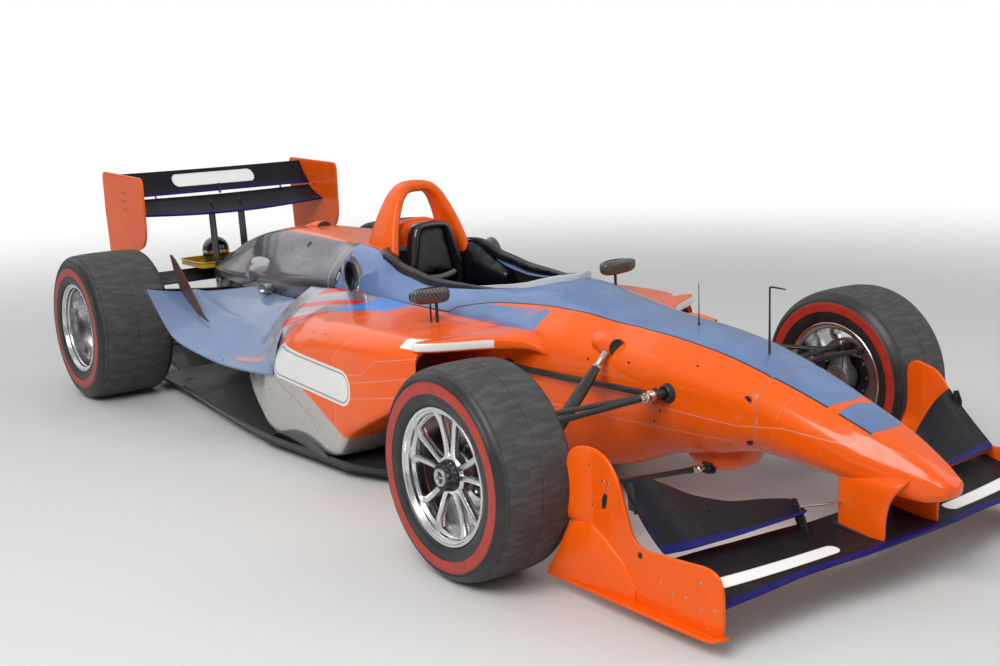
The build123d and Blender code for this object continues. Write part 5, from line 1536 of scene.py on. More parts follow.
def plump(made):
    # The pad is sewn a little small and blown up until its cover is tight, with its movement held to a few millimetres
    mesh = made.data
    count = len(mesh.vertices)
    start = np.empty(count * 3)
    mesh.vertices.foreach_get("co", start)
    blown = made.modifiers.new("cover", "CLOTH")
    settings = blown.settings
    settings.quality, settings.mass = 4, .3
    settings.use_pressure, settings.uniform_pressure_force = True, cloth["pressure"]
    settings.tension_stiffness = settings.compression_stiffness = 25
    settings.effector_weights.gravity = 0
    blown.point_cache.frame_start, blown.point_cache.frame_end = 1, cloth["frames"]
    scene = bpy.context.scene
    for number in range(1, cloth["frames"] + 1):
        scene.frame_set(number)
    solid = bpy.data.meshes.new_from_object(made.evaluated_get(bpy.context.evaluated_depsgraph_get()))
    end = np.empty(count * 3)
    solid.vertices.foreach_get("co", end)
    made.modifiers.clear()
    scene.frame_set(1)
    move = (end - start).reshape(-1, 3)
    size = np.linalg.norm(move, axis=1, keepdims=True) + 1e-9
    move *= np.minimum(1, cloth["most"] / size)
    mesh.vertices.foreach_set("co", (start + move.ravel()))
    mesh.update()
    return made


def pad(form, name, finish, stands=(), voxel=None):
    # An even skin over the form before it is blown up, smoothed once afterwards
    made = form.piece(name, finish, stands=stands, sharp=80, merge=1e-4)
    skin = made.modifiers.new("skin", "REMESH")
    skin.mode, skin.voxel_size, skin.use_smooth_shade = "VOXEL", voxel or cloth["voxel"], True
    even = made.modifiers.new("even", "SMOOTH")
    even.factor, even.iterations = .5, 3
    solid = settled(made)
    solid.materials.clear()
    solid.materials.append(finish.material)
    plump(made)
    soft = made.modifiers.new("soft", "SUBSURF")
    soft.levels = soft.render_levels = 1
    made.data.shade_smooth()
    return made


headrest = {"half": .021, "rows": [(-.12, .652, .098), (-.1205, .67, .098), (-.122, .7, .092), (-.125, .74, .084),
                                   (-.129, .79, .073),
            (-.133, .832, .063), (-.136, .848, .054)]}


def makeHeadrest():
    # x of the pad's front, z, half width
    front, z, half = np.array(headrest["rows"]).T
    centres = coords(front - headrest["half"], 0, z)
    body = Form().rings(carried(centres, leftward, forward, coords(half, headrest["half"]), 4.5, 48))
    pad(body, "headrestPad", panelFinish, ["headrest"])
    # The rounded frame round it
    s = np.linspace(0, 1, 60)
    fold = np.minimum(s, 1 - s)
    y = np.sign(.5 - s) * np.interp(fold, [0, .2, .4, .425, .5], [.118, .12, .078, .064, 0])
    z = np.interp(fold, [0, .2, .4, .425, .5], [.545, .668, .834, .848, .853])
    smooth = lambda k: np.convolve(np.pad(k, 1, mode="edge"), np.ones(3) / 3, "valid")
    y, z = smooth(y), smooth(z)
    x = np.interp(z, [.545, .7, .86], [-.128, -.131, -.15])
    path = coords(x, y, z)
    along = unit(np.gradient(path, axis=0))
    out = unit(np.cross(along, forward))
    border = Form().rings(carried(path, forward, out, (.032, .0155), 2.8, 32))
    border.piece("headrestFrame", glossBlack, sharp=60)
    back = Form().slab([(-.118, .53), (-.118, .67), (-.078, .83), (-.05, .85), (.05, .85), (.078, .83),
                                 (.118, .67), (.118, .53)], -.166, .018, .003, flat="yz")
    back.piece("headrestBack", glossBlack, sharp=50)
    beltRoll = Form().tube([(-.106, (k - 5) * .0185, .634 + .0007 * (k - 5)**2) for k in range(11)], .0125, 18)
    pad(beltRoll, "beltRoll", vinyl("beltGrey", (.16, .16, .165), .75, .003), [], .0048)


sidePad = {"start": -.168, "end": .112, "rows": [  # x, top, bottom, outer |y|, inner |y|
        (-.168, .754, .56, .244, .15), (-.14, .762, .566, .252, .16), (-.09, .744, .57, .254, .17),
        (-.02, .712, .572, .254, .174), (.045, .684, .575, .252, .178), (.085, .668, .58, .25, .182),
        (.112, .652, .6, .246, .192)]}


def makeSidePad(side, sign):
    # The raised pad beside the headrest, falling forwards along the cockpit's side
    x = np.linspace(sidePad["start"], sidePad["end"], 26)
    top, low, outer, inner = ease(sidePad["rows"], x).T
    centres = coords(x, sign * (outer + inner) / 2, (top + low) / 2)
    form = Form().rings(carried(centres, leftward, upward, coords((outer - inner) / 2, (top - low) / 2), 3.4, 44))
    pad(form, f"sidePad_{side}", padFinish, [])
    # The rim pad along the edge of the opening
    x = np.linspace(-.172, .6, 90)
    y = openingHalf(x) + .002
    raised = np.interp(x, [-.172, -.12, .0, .12, .28, .45, .6], [.01, .018, .014, .022, .014, .006, .002])
    centres = coords(x, sign * y, tubEdge(x) + raised - .006)
    half = coords(np.interp(x, [-.172, -.1, .3, .6], [.018, .028, .024, .012]),
                     np.interp(x, [-.172, -.1, .3, .6], [.012, .016, .013, .007]))
    rim = Form().rings(carried(centres, leftward, upward, half, 2.6, 28))
    pad(rim, f"rimPad_{side}", padFinish, ["cockpit_surround"], .0062)


seat = {"x": [(0, -.104), (.25, -.03), (.45, .062), (.72, .3), (1, .52)],
        "z": [(0, .465), (.25, .3), (.45, .185), (.72, .148), (1, .178)], "wall": .03, "floor": .094, "side": .058}


def makeSeat():
    # A shell along a curved back line, raised at both sides by a power of the width
    s = np.linspace(0, 1, 44)
    x, z = (ease(seat[key], s)[:, 0] for key in ("x", "z"))
    path = coords(x, 0, z)
    along = unit(np.gradient(path, axis=0))
    over = coords(along[:, 2], 0, -along[:, 0]) * -1
    t = np.linspace(-1, 1, 40)
    raised = seat["side"] * abs(t)**3.2
    half = np.interp(s, [0, .3, .6, 1], [.17, .192, .195, .17])
    top = path[:, None] + over[:, None] * raised[None, :, None] + np.array([0, 1, 0]) * (half[:, None] * t)[..., None]
    low = top - over[:, None] * seat["wall"]
    low[..., 2] = np.maximum(low[..., 2], seat["floor"])
    form = Form().rings(np.concatenate([top, low[:, ::-1]], axis=1))
    pad(form, "seatPad", seatFinish, ["seat"], .0115)


glossBlack = metal("glossBlack", (.008, .008, .01), .08, (3, 3, 3), .15, .0, .02, slot="carbon").set(Coat_Weight=.8)


handWheel = {
    "centre": (.503, 0, .6), "tilt": (.95, .108), "grip": (.127, .0665),
    "plate": [(-.118, -.02), (-.062, -.048), (.062, -.048), (.118, -.02), (.118, .022), (.07, .05), (-.07, .05),
              (-.118, .022)],
    "knobs": ((-.085, .018), (-.085, -.008), (.085, .018), (.085, -.008), (-.045, -.03), (.045, -.03)),
    "screen": [(-.04, -.008), (.04, -.008), (.04, .03), (-.04, .03)],
}


def makeHandWheel():
    # Grip along a rounded oblong, plate, knobs, column and screen, in the wheel's own directions
    centre, (level, slope) = np.array(handWheel["centre"]), handWheel["tilt"] / np.hypot(*handWheel["tilt"])
    axis, rising = np.array([level, 0, -slope]), np.array([slope, 0, level])
    place = lambda p: centre + np.asarray(p)[..., :1] * axis + np.asarray(p)[..., 1:2] * leftward \
        + np.asarray(p)[..., 2:] * rising
    turn = circle(72)
    u, v = oval(72, 3.4)
    path = coords(0, u * handWheel["grip"][0], v * handWheel["grip"][1] - .0015)
    along = unit(np.roll(path, -1, axis=0) - np.roll(path, 1, axis=0))
    across = np.cross(along, forward)
    ring = carried(path, forward, across, coords(.0125, .012 + .002 * np.cos(2 * turn)), 2.3, 20)
    grip = Form().grid(place(ring), wrapRows=True, wrapColumns=True)
    grip.piece("handWheelGrip", seatFinish, body="hand_wheel", stands=["steering_wheel"], sharp=60)
    plate = Form()
    outline = rounded(handWheel["plate"], 5, .6, True)
    layers = [coords(off, outline[:, 0] * k, outline[:, 1] * k)
              for off, k in ((-.011, .96), (-.009, 1), (.007, 1), (.009, .96))]
    plate.rings(place(np.array(layers)))
    plate.piece("handWheelPlate", carbon, body="hand_wheel")
    knobs = Form()
    for py, pz in handWheel["knobs"]:
        knobs.turned([(0, .0075), (.006, .0075), (.0085, .006)], place([-.0105, py, pz]), -axis, 18)
    knobs.turned([(-.02, .03), (-.02, .034), (.0, .036), (.03, .03), (.05, .0135), (.1, .0115), (.946, .0108)],
                 centre + axis * .01, axis, 32)
    knobs.piece("handWheelColumn", blackMetal, body="hand_wheel")
    screen = Form()
    outline = np.array(handWheel["screen"])
    layers = [coords(off, outline[:, 0], outline[:, 1]) for off in (-.0135, -.01)]
    screen.rings(place(np.array(layers)))
    screen.piece("handWheelScreen", glossBlack, body="hand_wheel", slot="padding", bevel=.001)


def makeLip():
    # Pale lip round the front of the opening
    t = np.linspace(-1, 1, 80)
    y = np.sin(t * np.pi / 2) * .205
    table = np.array([(half, x) for x, half in tubSkin["opening"] if x > .3])
    x = np.interp(abs(y), *table[np.argsort(table[:, 0])].T)
    z = tubEdge(np.minimum(x, .8)) + .004
    z = np.where(x > .78, tubEdge(np.array([.78]))[0] + .004, z)
    size = np.interp(abs(y), [0, .12, .205], [.016, .014, .004])
    rings = carried(coords(x + .003, y, z + size * .4), forward, upward, coords(.0035, size), 2.4, 20)
    Form().rings(rings).piece("scuttleLip", plainPaint("paleLip", (.55, .56, .6), slot="grey_body"), sharp=50)


makeHeadrest()
both(makeSidePad)
makeSeat()
makeHandWheel()
makeLip()
print("cockpit made")


# ---- Suspension, steering, mirrors and the tail
arms = {
    "chord": .0155, "thick": .0072,
    "upper": {"node": "front_upper_wishbones", "fork": (1.353, .695, .44), "joint": (1.353, .79, .44),
              "pickups": [(1.473, .233, .462), (.789, .309, .461)]},
    "lower": {"node": "front_lower_wishbones", "fork": (1.353, .695, .195), "joint": (1.353, .79, .195),
              "pickups": [(1.553, .1, .211), (.933, .3, .19)]},
    "rearUpper": {"node": "rear_upper_wishbones", "fork": (-1.707, .605, .474), "joint": (-1.707, .7, .474),
                  "pickups": [(-1.377, .13, .4), (-1.887, .116, .4)]},
    "rearLower": {"node": "rear_lower_wishbones", "fork": (-1.707, .605, .212), "joint": (-1.707, .7, .212),
                  "pickups": [(-1.377, .13, .185), (-1.887, .116, .195)]},
}


def between(start, end, shares):
    # Places on a straight line by shares of its length
    start, end = np.asarray(start, float), np.asarray(end, float)
    return start + (end - start) * np.asarray(shares, float)[:, None]


def strut(form, start, end, shares, halves, power=2.2):
    # Oval sections along a straight line: wide way level, thin way across
    along = unit(np.subtract(end, start))
    level = unit(np.cross(along, upward))
    return form.rings(carried(between(start, end, shares), level, np.cross(level, along), halves, power, 28))


def rodEnd(steel, dark, place, toward, big=1.0):
    # Ball between two lugs, threaded shank and lock nut, pointing along the arm
    along = unit(np.subtract(toward, place))
    place = np.asarray(place, float)
    dark.turned([(-.011, .004), (-.01, .01), (-.007, .0145), (.007, .0145), (.01, .01), (.011, .004)],
                place, upward, 24)
    steel.turned([(.01, .0062), (.046 * big, .0062)], place, along, 14)
    steel.turned([(.024, .0105), (.026, .0118), (.034, .0118), (.036, .0105)], place, along, 6)
    steel.turned([(.04, .01), (.042, .0125), (.052 * big, .0125), (.056 * big, .0108)], place, along, 20)
    steel.turned([(-.0175, .0045), (-.0165, .0062), (.0165, .0062), (.0175, .0045)], place, upward, 6)


def makeArms(side, sign):
    # Both wishbones at each end, brackets, rod ends, the brace and the pushrods
    steel, dark = Form(), Form()
    flip = np.array((1, sign, 1))
    for name in ("upper", "lower", "rearUpper", "rearLower"):
        spec = arms[name]
        fork, joint = np.array(spec["fork"]), np.array(spec["joint"])
        form = Form()
        c, t = arms["chord"], arms["thick"]
        for pickup in spec["pickups"]:
            start, end = np.array(pickup), fork + (0, .012, 0)
            length = np.linalg.norm(end - start)
            near = .05 / length
            shares = [near, near + .001, near + .045, .3, .7, .94, 1]
            halves = [(.0098, .0098), (.0112, .0112), (c * .9, .0085), (c, t), (c, t), (c, t), (c * .8, t * .9)]
            strut(form, start * flip, end * flip, shares, halves)
            rodEnd(steel, dark, start * flip, end * flip)
            # Two lugs and their plate on the body's side
            inward = np.array((0, -sign, 0))
            for level in (-.0135, .0135):
                outline = rounded([(-.016, .014), (.016, .014), (.022, -.018), (-.022, -.018)], 4, .5, True)
                layers = [coords(start[0] + outline[:, 0], sign * (start[1] + outline[:, 1]),
                                    start[2] + level + off) for off in (-.0025, .0025)]
                dark.rings(layers)
            plate = start * flip + inward * .015
            dark.turned([(0, .024), (.004, .024), (.006, .022)], plate, -inward, 28)
            dark.bolts([plate + np.array((dx, 0, 0)) - inward * .004 for dx in (-.017, .017)], -inward, .0042, .004)
        strut(form, fork * flip, joint * flip, [-.06, .0, .35, .7, .8],
              [(.03, .0075), (.026, .0085), (.018, .0105), (.0165, .0115), (.013, .011)], 2.6)
        form.turned([(-.0125, .012), (-.0125, .0195), (-.0095, .0218), (.0095, .0218), (.0125, .0195), (.0125, .012)],
                    joint * flip, upward, 40)
        form.piece(f"{name}Arms_{side}", armFinish, stands=[spec["node"]], sharp=45)
        steel.turned([(-.0165, .006), (-.0165, .0105), (-.0135, .0118), (.0135, .0118), (.0165, .0105), (.0165, .006)],
                     joint * flip, upward, 24)
    # The level brace between the two front pickups, clear of the body's side
    start, end = np.array((.822, .33, .463)), np.array((1.452, .258, .462))
    brace = Form()
    strut(brace, start * flip, end * flip, [0, .004, .03, .97, .996, 1],
          [(.006, .006), (.0085, .0085), (.0092, .0105), (.0092, .0105), (.0085, .0085), (.006, .006)])
    for place, root in ((start, (.8, .302, .463)), (end, (1.468, .233, .462))):
        brace.tube([place * flip, (place + np.array(root)) / 2 * flip, np.array(root) * flip], .0078, 14)
    brace.piece("armBrace_" + side, armFinish, sharp=45)
    # Pushrods: thick oval tube, hexagon adjuster and bright threaded end
    for name, top, low, node in (("frontPushrod", (1.243, .252, .56), (1.347, .724, .199), "front_pushrods"),
                                 ("rearPushrod", (-1.527, .11, .395), (-1.707, .634, .216), "rear_pushrods")):
        top, low = np.array(top), np.array(low)
        form = Form()
        strut(form, top * flip, low * flip, [.125, .13, .17, .3, .82, .93, .97, .985],
              [(.0135, .0135), (.015, .0145), (.019, .016), (.0235, .0165), (.0235, .0165), (.016, .013),
               (.0115, .0115), (.009, .009)], 2.1)
        form.piece(f"{name}_{side}", armFinish, stands=[node], sharp=45)
        along = unit((low - top) * flip)
        steel.turned([(0, .006), (0, .0112), (.052, .0112), (.054, .0098), (.08, .0098)], top * flip, along, 24)
        steel.turned([(.056, .0135), (.058, .0155), (.066, .0155), (.068, .0135)], top * flip, along, 6)
        dark.turned([(.068, .014), (.069, .0152), (.076, .0152), (.077, .014)], top * flip, along, 6)
        steel.turned([(-.016, .0068), (-.014, .0095), (.004, .011), (.016, .011)], low * flip, -along, 20)
    steel.piece("rodEndMetal_" + side, brassSteel, sharp=35)
    dark.piece("armBrackets_" + side, blackMetal, sharp=35)


def armPaint():
    # Black powder coat on steel tube, dulled and chipped to bare metal here and there
    finish = Finish("armCoat", "black_metal")
    finish.places()
    chips = finish.noise(240, 4, .7).rise(.735, .75)
    film = finish.noise(14, 5, .6).rise(.4, .8)
    colour = finish.layers((.017, .017, .018), (film * .25, (.075, .068, .06)), (chips, (.34, .33, .32)))
    finish.set(Base_Color=colour, Metallic=chips * .9, Roughness=.3 + film * .2)
    return finish.bump(finish.noise(500, 3) - chips, .0004, .3)


def goldSteel():
    # Plated rod ends: bright steel with yellow-passivated patches
    finish = Finish("platedSteel", "alloy", Metallic=1.0)
    finish.places()
    patch = finish.noise(38, 2).rise(.5, .56)
    colour = finish.mix(patch * .6, (.6, .59, .57), (.52, .42, .27))
    grime = finish.noise(60, 5, .6).rise(.5, .8)
    return finish.set(Base_Color=finish.mix(grime * .5, colour, (.1, .09, .08)),
                      Roughness=.18 + grime * .3).bump(finish.noise(300, 2), .0003, .2)


armFinish, brassSteel = armPaint(), goldSteel()


def makeBlister(side, sign):
    # The bulge on the nose's shoulder that the pushrod's end runs into, open towards the front
    s = np.linspace(0, 1, 28)
    x = 1.112 + .158 * s
    y = np.interp(s, [0, .35, 1], [.176, .206, .224])
    z = np.interp(s, [0, .35, 1], [.582, .58, .574])
    half = coords(np.interp(s, [0, .12, .35, .7, 1], [.006, .026, .04, .038, .027]),
                     np.interp(s, [0, .12, .35, .7, 1], [.006, .026, .04, .04, .034]))
    rings = carried(coords(x, y, z), leftward, upward, half, 2.1, 48)
    rings[..., 0] -= (s[:, None]**2) * np.clip(rings[..., 1] - y[:, None], -.02, 1) * .5
    lip = rings[-1]
    middle = lip.mean(axis=0)
    inner = [middle + (lip - middle) * k + (off, 0, 0)
             for k, off in ((.965, .0015), (.9, 0), (.86, -.006), (.84, -.03))]
    skin = np.concatenate([rings, inner])
    form = Form().grid(skin * (1, sign, 1), wrapColumns=True, capStart=True, capEnd=False)
    form.piece("pushrodBlister_" + side, orangePaint, sharp=70)
    hole = [middle + (lip - middle) * k + (off, 0, 0) for k, off in ((.92, -.004), (.88, -.01), (.8, -.012))]
    Form().rings(np.array(hole) * (1, sign, 1)).piece("pushrodHole_" + side, dullCarbon, slot="orange_body", sharp=70)
    # Two dark quarter-turn fasteners ahead of the screen's line and behind the seam
    dark = Form()
    for x, z in ((1.795, .49), (1.795, .362)):
        place = (x, sign * (skinSide(x, z) - .0035), z)
        dark.turned([(0, .0125), (.0042, .0125), (.0052, .0115), (.0046, .0098), (.003, .0094)], place, (0, sign, 0),
                    28)
        dark.turned([(.002, .0058), (.0042, .0056), (.0046, .0048)], place, (0, sign, 0), 20)
    for x, z in ((1.59, .56), (1.335, .54), (1.165, .53), (1.47, .405), (1.44, .365)):
        dark.turned([(0, .0042), (.003, .0042), (.0034, .0034)], (x, sign * (skinSide(x, z) - .002), z),
                    (0, sign, 0), 14)
    dark.piece("noseFasteners_" + side, blackMetal, slot="orange_body", sharp=35)


def skinSide(x, z):
    # Half width of the body's skin at a station and a height
    ring = tubRings(np.array([x]))[0]
    ring = ring[ring[:, 1] > .6 * ring[:, 1].max()]
    order = np.argsort(ring[:, 2])
    return float(np.interp(z, ring[order, 2], ring[order, 1]))


keel = {"start": 1.395, "length": .295, "top": .33,
        "rows": [  # share of the length, half width, low
            (0, .05, .262), (.12, .085, .214), (.3, .103, .19), (.62, .103, .188), (.82, .075, .212), (1, .03, .285)]}


def makeKeel():
    # The rounded keel under the nose that holds the lower arms' front ends: ovals of a smoothed table
    s = np.linspace(0, 1, 40)
    shares, halves, lows = np.array(keel["rows"]).T
    wide, low = np.interp(s, shares, halves), np.interp(s, shares, lows)
    centres = coords(keel["start"] + keel["length"] * s, 0, (low + keel["top"]) / 2)
    smooth = coords(wide, (keel["top"] - low) / 2)
    smooth = np.stack([np.convolve(np.pad(k, 3, mode="edge"), np.ones(7) / 7, "valid") for k in smooth.T], -1)
    Form().rings(carried(centres, leftward, upward, smooth, 2.8, 56)).piece("noseKeel", orangePaint, sharp=70)


def makeRack():
    # Housing, track rods with their joints and the bosses on the tub
    form, steel = Form(), Form()
    form.turned([(-.3, .006), (-.3, .0125), (-.296, .0135), (.296, .0135), (.3, .0125), (.3, .006)],
                (1.503, 0, .47), leftward, 32)
    for sign in (-1, 1):
        start, end = np.array((1.503, sign * .296, .47)), np.array((1.438, sign * .79, .4323))
        along = unit(end - start)
        strut(form, start, end, [.0, .004, .05, .1, .9, .93],
              [(.008, .008), (.0105, .0105), (.0105, .0105), (.0092, .0092), (.0092, .0092), (.0085, .0085)])
        steel.turned([(.012, .0145), (.014, .016), (.024, .016), (.026, .0145)], start, along, 6)
        steel.turned([(.028, .012), (.04, .012)], start, along, 6)
        # The inner joint's collar and the outer eye
        steel.turned([(-.01, .009), (-.01, .0175), (-.007, .019), (.006, .019), (.01, .015)], start, along, 28)
        form.turned([(-.0095, .01), (-.0095, .016), (-.0075, .0178), (.0075, .0178), (.0095, .016), (.0095, .01)],
                    end, upward, 32)
        form.turned([(.012, .015), (.0135, .0085)], end, -along, 16)
    form.piece("steeringRack", armFinish, body="rack", stands=["steering_rack"])
    steel.piece("steeringJoints", brassSteel, body="rack", slot="black_metal", sharp=35)
    for side, sign in (("right", -1), ("left", 1)):
        boss = Form().turned([(0, .019), (0, .033), (.004, .0345), (.01, .033), (.014, .029), (.022, .028),
                              (.026, .024), (.026, .019)], (1.503, sign * .2145, .468), (0, sign, 0), 40, closed=True)
        boss.piece("rackBoss_" + side, blackMetal)


def makeUpright(side, sign):
    # Bearing housing, two legs, ribs, steering arm, ball joint bolts and the caliper
    for kind, x, y, z, low, high, body, node in (
            ("front", 1.353, .79, .324, .195, .44, f"front_{side}_knuckle", f"front_upright_{side}"),
            ("rear", -1.707, .7, .343, .212, .474, "chassis", "rear_uprights")):
        form, bright = Form(), Form()
        place = (x, sign * y, z)
        form.turned([(-.028, .0315), (-.028, .046), (-.024, .05), (-.012, .054), (.012, .056), (.024, .056),
                     (.028, .053), (.028, .0315)], place, (0, sign, 0), 64, closed=True)
        for end, way in ((low, -1), (high, 1)):
            # A tapering leg from the bearing's housing to each ball joint
            s = np.linspace(0, 1, 10)
            level = z + way * (.036 + (abs(end - z) - .036 - .0175) * s)
            centres = coords(x, sign * y, level)
            half = coords(np.interp(s, [0, .5, 1], [.046, .031, .024]), np.interp(s, [0, 1], [.027, .019]))
            form.rings(carried(centres, forward, leftward, half, 3.2, 32))
            bright.turned([(-.003, .0045), (-.003, .0075), (.0215, .0075), (.0235, .0055)],
                          (x, sign * y, end + way * -.0205), (0, 0, way), 16)
            bright.bolts([(x, sign * y, end + way * .0125)], (0, 0, way), .0095, .0075)
        for rib in (-.026, 0, .026):
            form.slab([(x + rib - .0022, low + .03), (x + rib + .0022, low + .03), (x + rib + .0022, high - .03),
                       (x + rib - .0022, high - .03)], sign * (y - .0265), .007, .0008)
        if kind == "front":
            arm = between((x + .03, sign * y, high - .024), (x + .093, sign * y, high - .024), [0, .4, .8, 1])
            form.rings(carried(arm, leftward, upward, [(.012, .006), (.0115, .006), (.0115, .006), (.006, .005)], 3,
                               24))
            bright.turned([(-.008, .004), (-.007, .0048), (.03, .0048), (.031, .0035)],
                          (x + .085, sign * y, high - .024), upward, 14)
        form.piece(f"{kind}Upright_{side}", castMetal, body=body, slot="alloy", stands=[node])
        bright.piece(f"{kind}UprightBolts_{side}", brassSteel, body=body, sharp=35)
        # Caliper astride the disc behind the axle: two curved halves joined by bridge bolts
        discY = y + .047
        turn = np.linspace(np.pi - .46, np.pi + .46, 26)
        half = Form()
        for face in (-1, 1):
            mid = discY + face * .0255
            swell = 1 - .12 * np.cos((turn - np.pi) * 13.6)**2
            rings = [coords(x + r * np.cos(turn), sign * (mid + off), z + r * np.sin(turn))
                     for r, off in ((.088, -.0095), (.088, .0095), (.12, .0115), (.15, .0095), (.15, -.0095),
                                    (.12, -.0115))]
            points = np.stack(rings, axis=1)
            points[..., 1] += sign * face * (.0025 * swell[:, None])
            half.rings(points)
        for at in (-.38, 0, .38):
            px, pz = x + .1465 * np.cos(np.pi + at), z + .1465 * np.sin(np.pi + at)
            half.turned([(-.036, .007), (.036, .007)], (px, sign * discY, pz), leftward, 14)
            half.bolts([(px, sign * (discY + .0365), pz)], (0, sign, 0), .0072, .005)
        half.slab([(x - .15, z - .03), (x - .15, z + .03), (x - .04, z + .026), (x - .04, z - .026)],
                  sign * (y + .02), .0125, .002)
        half.piece(f"{kind}Caliper_{side}", blackMetal, body=body, slot="alloy")


mirror = {"centre": (.517, .447, .6905), "half": .083, "depth": .026, "height": .0305, "glass": .4995}


def makeMirror(side, sign):
    # Elliptical pods whose front is rounded and whose glass faces back
    s = np.linspace(-1, 1, 40)
    end = (1 - abs(s)**4.5)**.42
    mx, my, mz = mirror["centre"]
    centres = coords(mx + .004 * s, sign * (my + mirror["half"] * s), mz + .0045 * s)
    half = coords(mirror["depth"] * end + .001, np.maximum(mirror["height"] * end, .001))
    rings = carried(centres, forward, upward, half, 3.0, 40)
    rings[..., 2] = np.where(rings[..., 2] > .712, .712 + (rings[..., 2] - .712) * .35, rings[..., 2])
    rings[..., 0] = np.maximum(rings[..., 0], mirror["glass"])
    form = Form().rings(rings)
    form.piece("mirrorPod_" + side, mirrorWeave, stands=["mirrors"], sharp=50)
    rim = carried([(x, sign * my, mz) for x in (.4995, .4975, .4975, .4988)], leftward, upward,
                  [(.079, .0265), (.078, .0255), (.073, .0205), (.0725, .02)], 3, 64)
    Form().grid(rim, wrapColumns=True).piece("mirrorRim_" + side, dullCarbon)
    glass = carried([(x, sign * my, mz) for x in (.4994, .4984)], leftward, upward, (.0735, .021), 3, 64)
    Form().rings(glass).piece("mirrorGlass_" + side, metal("mirrorGlass" + side, (.78, .8, .82), .03, (3, 3, 3), .06, 1,
                                                           .01, slot="carbon"))
    stalk = Form()
    for x, dy, radius, top in ((.524, -.02, .0058, .666), (.505, -.006, .0034, .664)):
        stalk.tube([(x + .002, sign * (my + dy), .578), (x + .001, sign * (my + dy), .62),
                    (x, sign * (my + dy), top)],
                   radius, 18, level=forward)
    base = (.515, sign * .433, .5805)
    stalk.turned([(0, .0185), (.0035, .0185), (.006, .012), (.0085, .0085)], base, upward, 32)
    stalk.bolts([(.503, sign * .433, .584), (.529, sign * .433, .584)], upward, .0038, .003)
    stalk.piece("mirrorStalk_" + side, blackMetal, slot="carbon")


mirrorWeave = weave("mirrorCarbon", (.02, .019, .018), (.12, .11, .1), size=.0036, rough=.26, coat=.6)


def makeAntennas():
    # Whip, and a pitot tube bent forwards
    form = Form()
    form.turned([(.0, .012), (.004, .0118), (.009, .0075), (.014, .0045), (.024, .0024), (.07, .0017), (.15, .001)],
                (1.417, 0, .6285), upward, 20)
    form.turned([(.0, .011), (.003, .0108), (.008, .006), (.014, .0042), (.15, .003), (.2255, .003)],
                (1.72, 0, .5735), upward, 20)
    form.tube([(1.7205, 0, .793), (1.7215, 0, .7985), (1.727, 0, .8005), (1.745, 0, .8), (1.77, 0, .7995),
               (1.784, 0, .7992)], [.003, .003, .003, .0028, .0024, .0018], 14, level=leftward)
    form.piece("antennaRods", blackMetal, stands=["antennas"], sharp=35)


both(makeArms)
both(makeBlister)
makeKeel()
makeRack()
both(makeUpright)
both(makeMirror)
makeAntennas()
print("suspension made")


# ---- Tail and floor
gearbox = {
    "joints": [  # x, half width, low, high
        (-1.3, .1315, .118, .4465), (-1.56, .1265, .132, .4465), (-1.9, .1115, .149, .4465),
        (-2.05, .0905, .199, .4385)],
    "ribs": (.19, .25, .31, .37, .415), "output": .343, "starter": .32,
}


def makeGearbox():
    # Bolted joints, ribs, output housings, the starter's rim and the rain light
    form, bolts = Form(), Form()
    # Bolted joints round the case, then ribs along its sides
    for x, half, low, high in gearbox["joints"]:
        u, v = oval(56, 9)
        rim = coords(x, u * half, (low + high) / 2 + v * (high - low) / 2)
        out = coords(0, u, v)
        rings = [rim + out * k + (off, 0, 0)
                 for off, k in ((-.009, -.004), (-.009, .0045), (-.0075, .006),
                                (.0075, .006), (.009, .0045), (.009, -.004))]
        form.grid(rings, wrapColumns=True)
        spots = rim[::4] + out[::4] * .001
        bolts.bolts([p for p in spots + (.009, 0, 0)], forward, .0055, .006)
    for z in gearbox["ribs"]:
        for sign in (-1, 1):
            x = np.linspace(-1.57, -1.9, 12)
            half = np.interp(x, [-1.907, -1.287], [.11, .13])
            path = coords(x, sign * (half + .001), z)
            form.rings(carried(path, leftward, upward, (.0055, .0032), 3, 14))
    for sign in (-1, 1):
        # Output housings with their bolts
        form.turned([(.11, .064), (.118, .074), (.128, .074), (.134, .064), (.1485, .0615)], (-1.707, 0, .343),
                    (0, sign, 0), 48, caps=False)
        bolts.bolts([(-1.707 + .0685 * np.cos(a), sign * .1285, .343 + .0685 * np.sin(a))
                     for a in np.arange(8) * np.pi / 4], (0, sign, 0), .0048, .0055)
    socket = [(-.002, .0205), (.0045, .0205), (.0045, .034), (.0025, .038), (-.002, .038)]
    form.turned(socket, (-2.127, 0, .32), (-1, 0, 0), 48, closed=True)
    bolts.bolts([(-2.1312, .029 * np.cos(a + .5), .32 + .029 * np.sin(a + .5)) for a in np.arange(6) * np.pi / 3],
                (-1, 0, 0), .0035, .0045)
    form.piece("gearboxRibs", castMetal)
    bolts.piece("gearboxBolts", brassSteel, slot="cast_alloy", sharp=35)
    # Rain light under the tray
    lamp = Form().slab(rounded([(-.06, .448), (.06, .448), (.06, .4865), (-.06, .4865)], 4, .4, True), -2.372,
                       .012, .002,
                       flat="yz")
    lamp.piece("rainLight", redLens())


def redLens():
    # Red lens with fine cells
    finish = Finish("redLens", "cast_alloy", Roughness=.12)
    x, y, z = finish.places()
    cells = (y * 900).wave() * (z * 900).wave()
    finish.set(Base_Color=finish.mix(cells.rise(-.2, .6), (.1, .004, .004), (.36, .012, .01)))
    return finish.bump(cells, .001, .5)


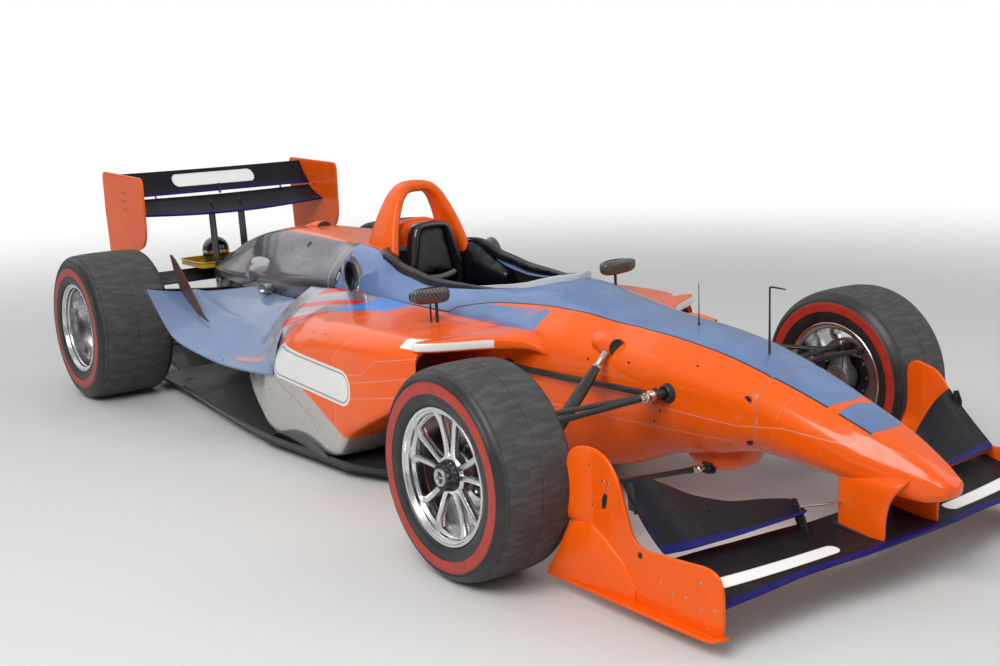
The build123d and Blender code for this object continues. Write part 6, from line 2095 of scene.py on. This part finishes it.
def makeTray():
    # Rolled rim and rivets on the yellow tray; the dome's base band
    outline = rounded([(-2.107, .165), (-2.107, -.165), (-2.389, -.165), (-2.389, .165)], 6, .3, True)
    path = coords(*outline.T, .5135)
    along = unit(np.roll(path, -1, axis=0) - np.roll(path, 1, axis=0))
    out = np.cross(along, upward)
    rings = carried(path + out * -.003, out, upward, (.0045, .0035), 2, 12)
    Form().grid(rings, wrapRows=True, wrapColumns=True).piece("trayRim", yellowPaint, sharp=60)
    rivets = Form()
    for x in np.linspace(-2.13, -2.37, 6):
        for y in (-.146, .146):
            rivets.turned([(0, .0042), (.0014, .004), (.0024, .0024)], (x, y, .4918), upward, 12)
    rivets.piece("trayRivets", steel, slot="yellow_tray", sharp=60)
    dome = Form()
    s = np.linspace(0, np.pi / 2, 16)
    profile = [(-.0635, .001), (-.0635, .0705), (-.062, .0718), (0, .072)]
    profile += [(.072 * np.sin(k), .072 * np.cos(k)) for k in s[1:]]
    dome.turned(profile, (-2.28, 0, .556), upward, 64)
    dome.piece("trayDome", glossBlack, stands=["gearbox_dome"], sharp=60)
    band = Form().turned([(-.012, .0715), (-.012, .0728), (-.0105, .0734), (.0005, .0734), (.002, .0728),
                          (.002, .0715)],
                         (-2.28, 0, .556), upward, 64, closed=True)
    band.piece("domeBand", steel, slot="carbon")


def makeStruts(side, sign):
    # Flat carbon struts with bolts at both ends
    outline = rounded([(-2.037, .4065), (-2.117, .4065), (-2.147, .838), (-2.077, .838)], 4, .15, True)
    form = Form().slab(outline, sign * .084, .008, .0025)
    form.piece("wingStrut_" + side, dullCarbon, stands=["rear_wing_struts"])
    bolts = Form()
    for x, z in ((-2.055, .425), (-2.1, .425), (-2.092, .806), (-2.128, .806)):
        bolts.bolts([(x, sign * .088, z)], (0, sign, 0), .0075, .0045)
        bolts.bolts([(x, sign * .08, z)], (0, -sign, 0), .0075, .0045)
    bolts.piece("strutBolts_" + side, steel, slot="carbon", sharp=35)


def makeFloor(side, sign):
    # Turned-down carbon edge along the floor, and the small vane at its front corner
    x = np.linspace(-1.36, .58, 90)
    path = coords(x, sign * (ease(floorEdge["line"], x)[:, 0] - .001), floorEdge["z"])
    form = Form().rings(carried(path, leftward, upward, (.0048, .0092), 3, 18))
    form.piece("floorEdge_" + side, carbon, sharp=50)
    s, t = np.linspace(0, 1, 26)[:, None], np.linspace(0, 1, 14)[None]
    vx = .155 - s * .46 + t * .01
    vy = .703 + t * (.004 + .016 * s)
    vz = .058 + .055 * np.sin(np.pi * np.minimum(s * 1.05, 1))**.7 * t
    vane = Form().grid(coords(vx, sign * vy, vz))
    vane.piece("floorVane_" + side, carbon, thick=.0035, offset=0, sharp=50)


floorEdge = {"z": .0545, "line": [(-1.367, .6255), (-.293, .7265), (.063, .7015), (.273, .688), (.593, .558)]}
makeGearbox()
makeTray()
both(makeStruts)
both(makeFloor)
print("tail made")
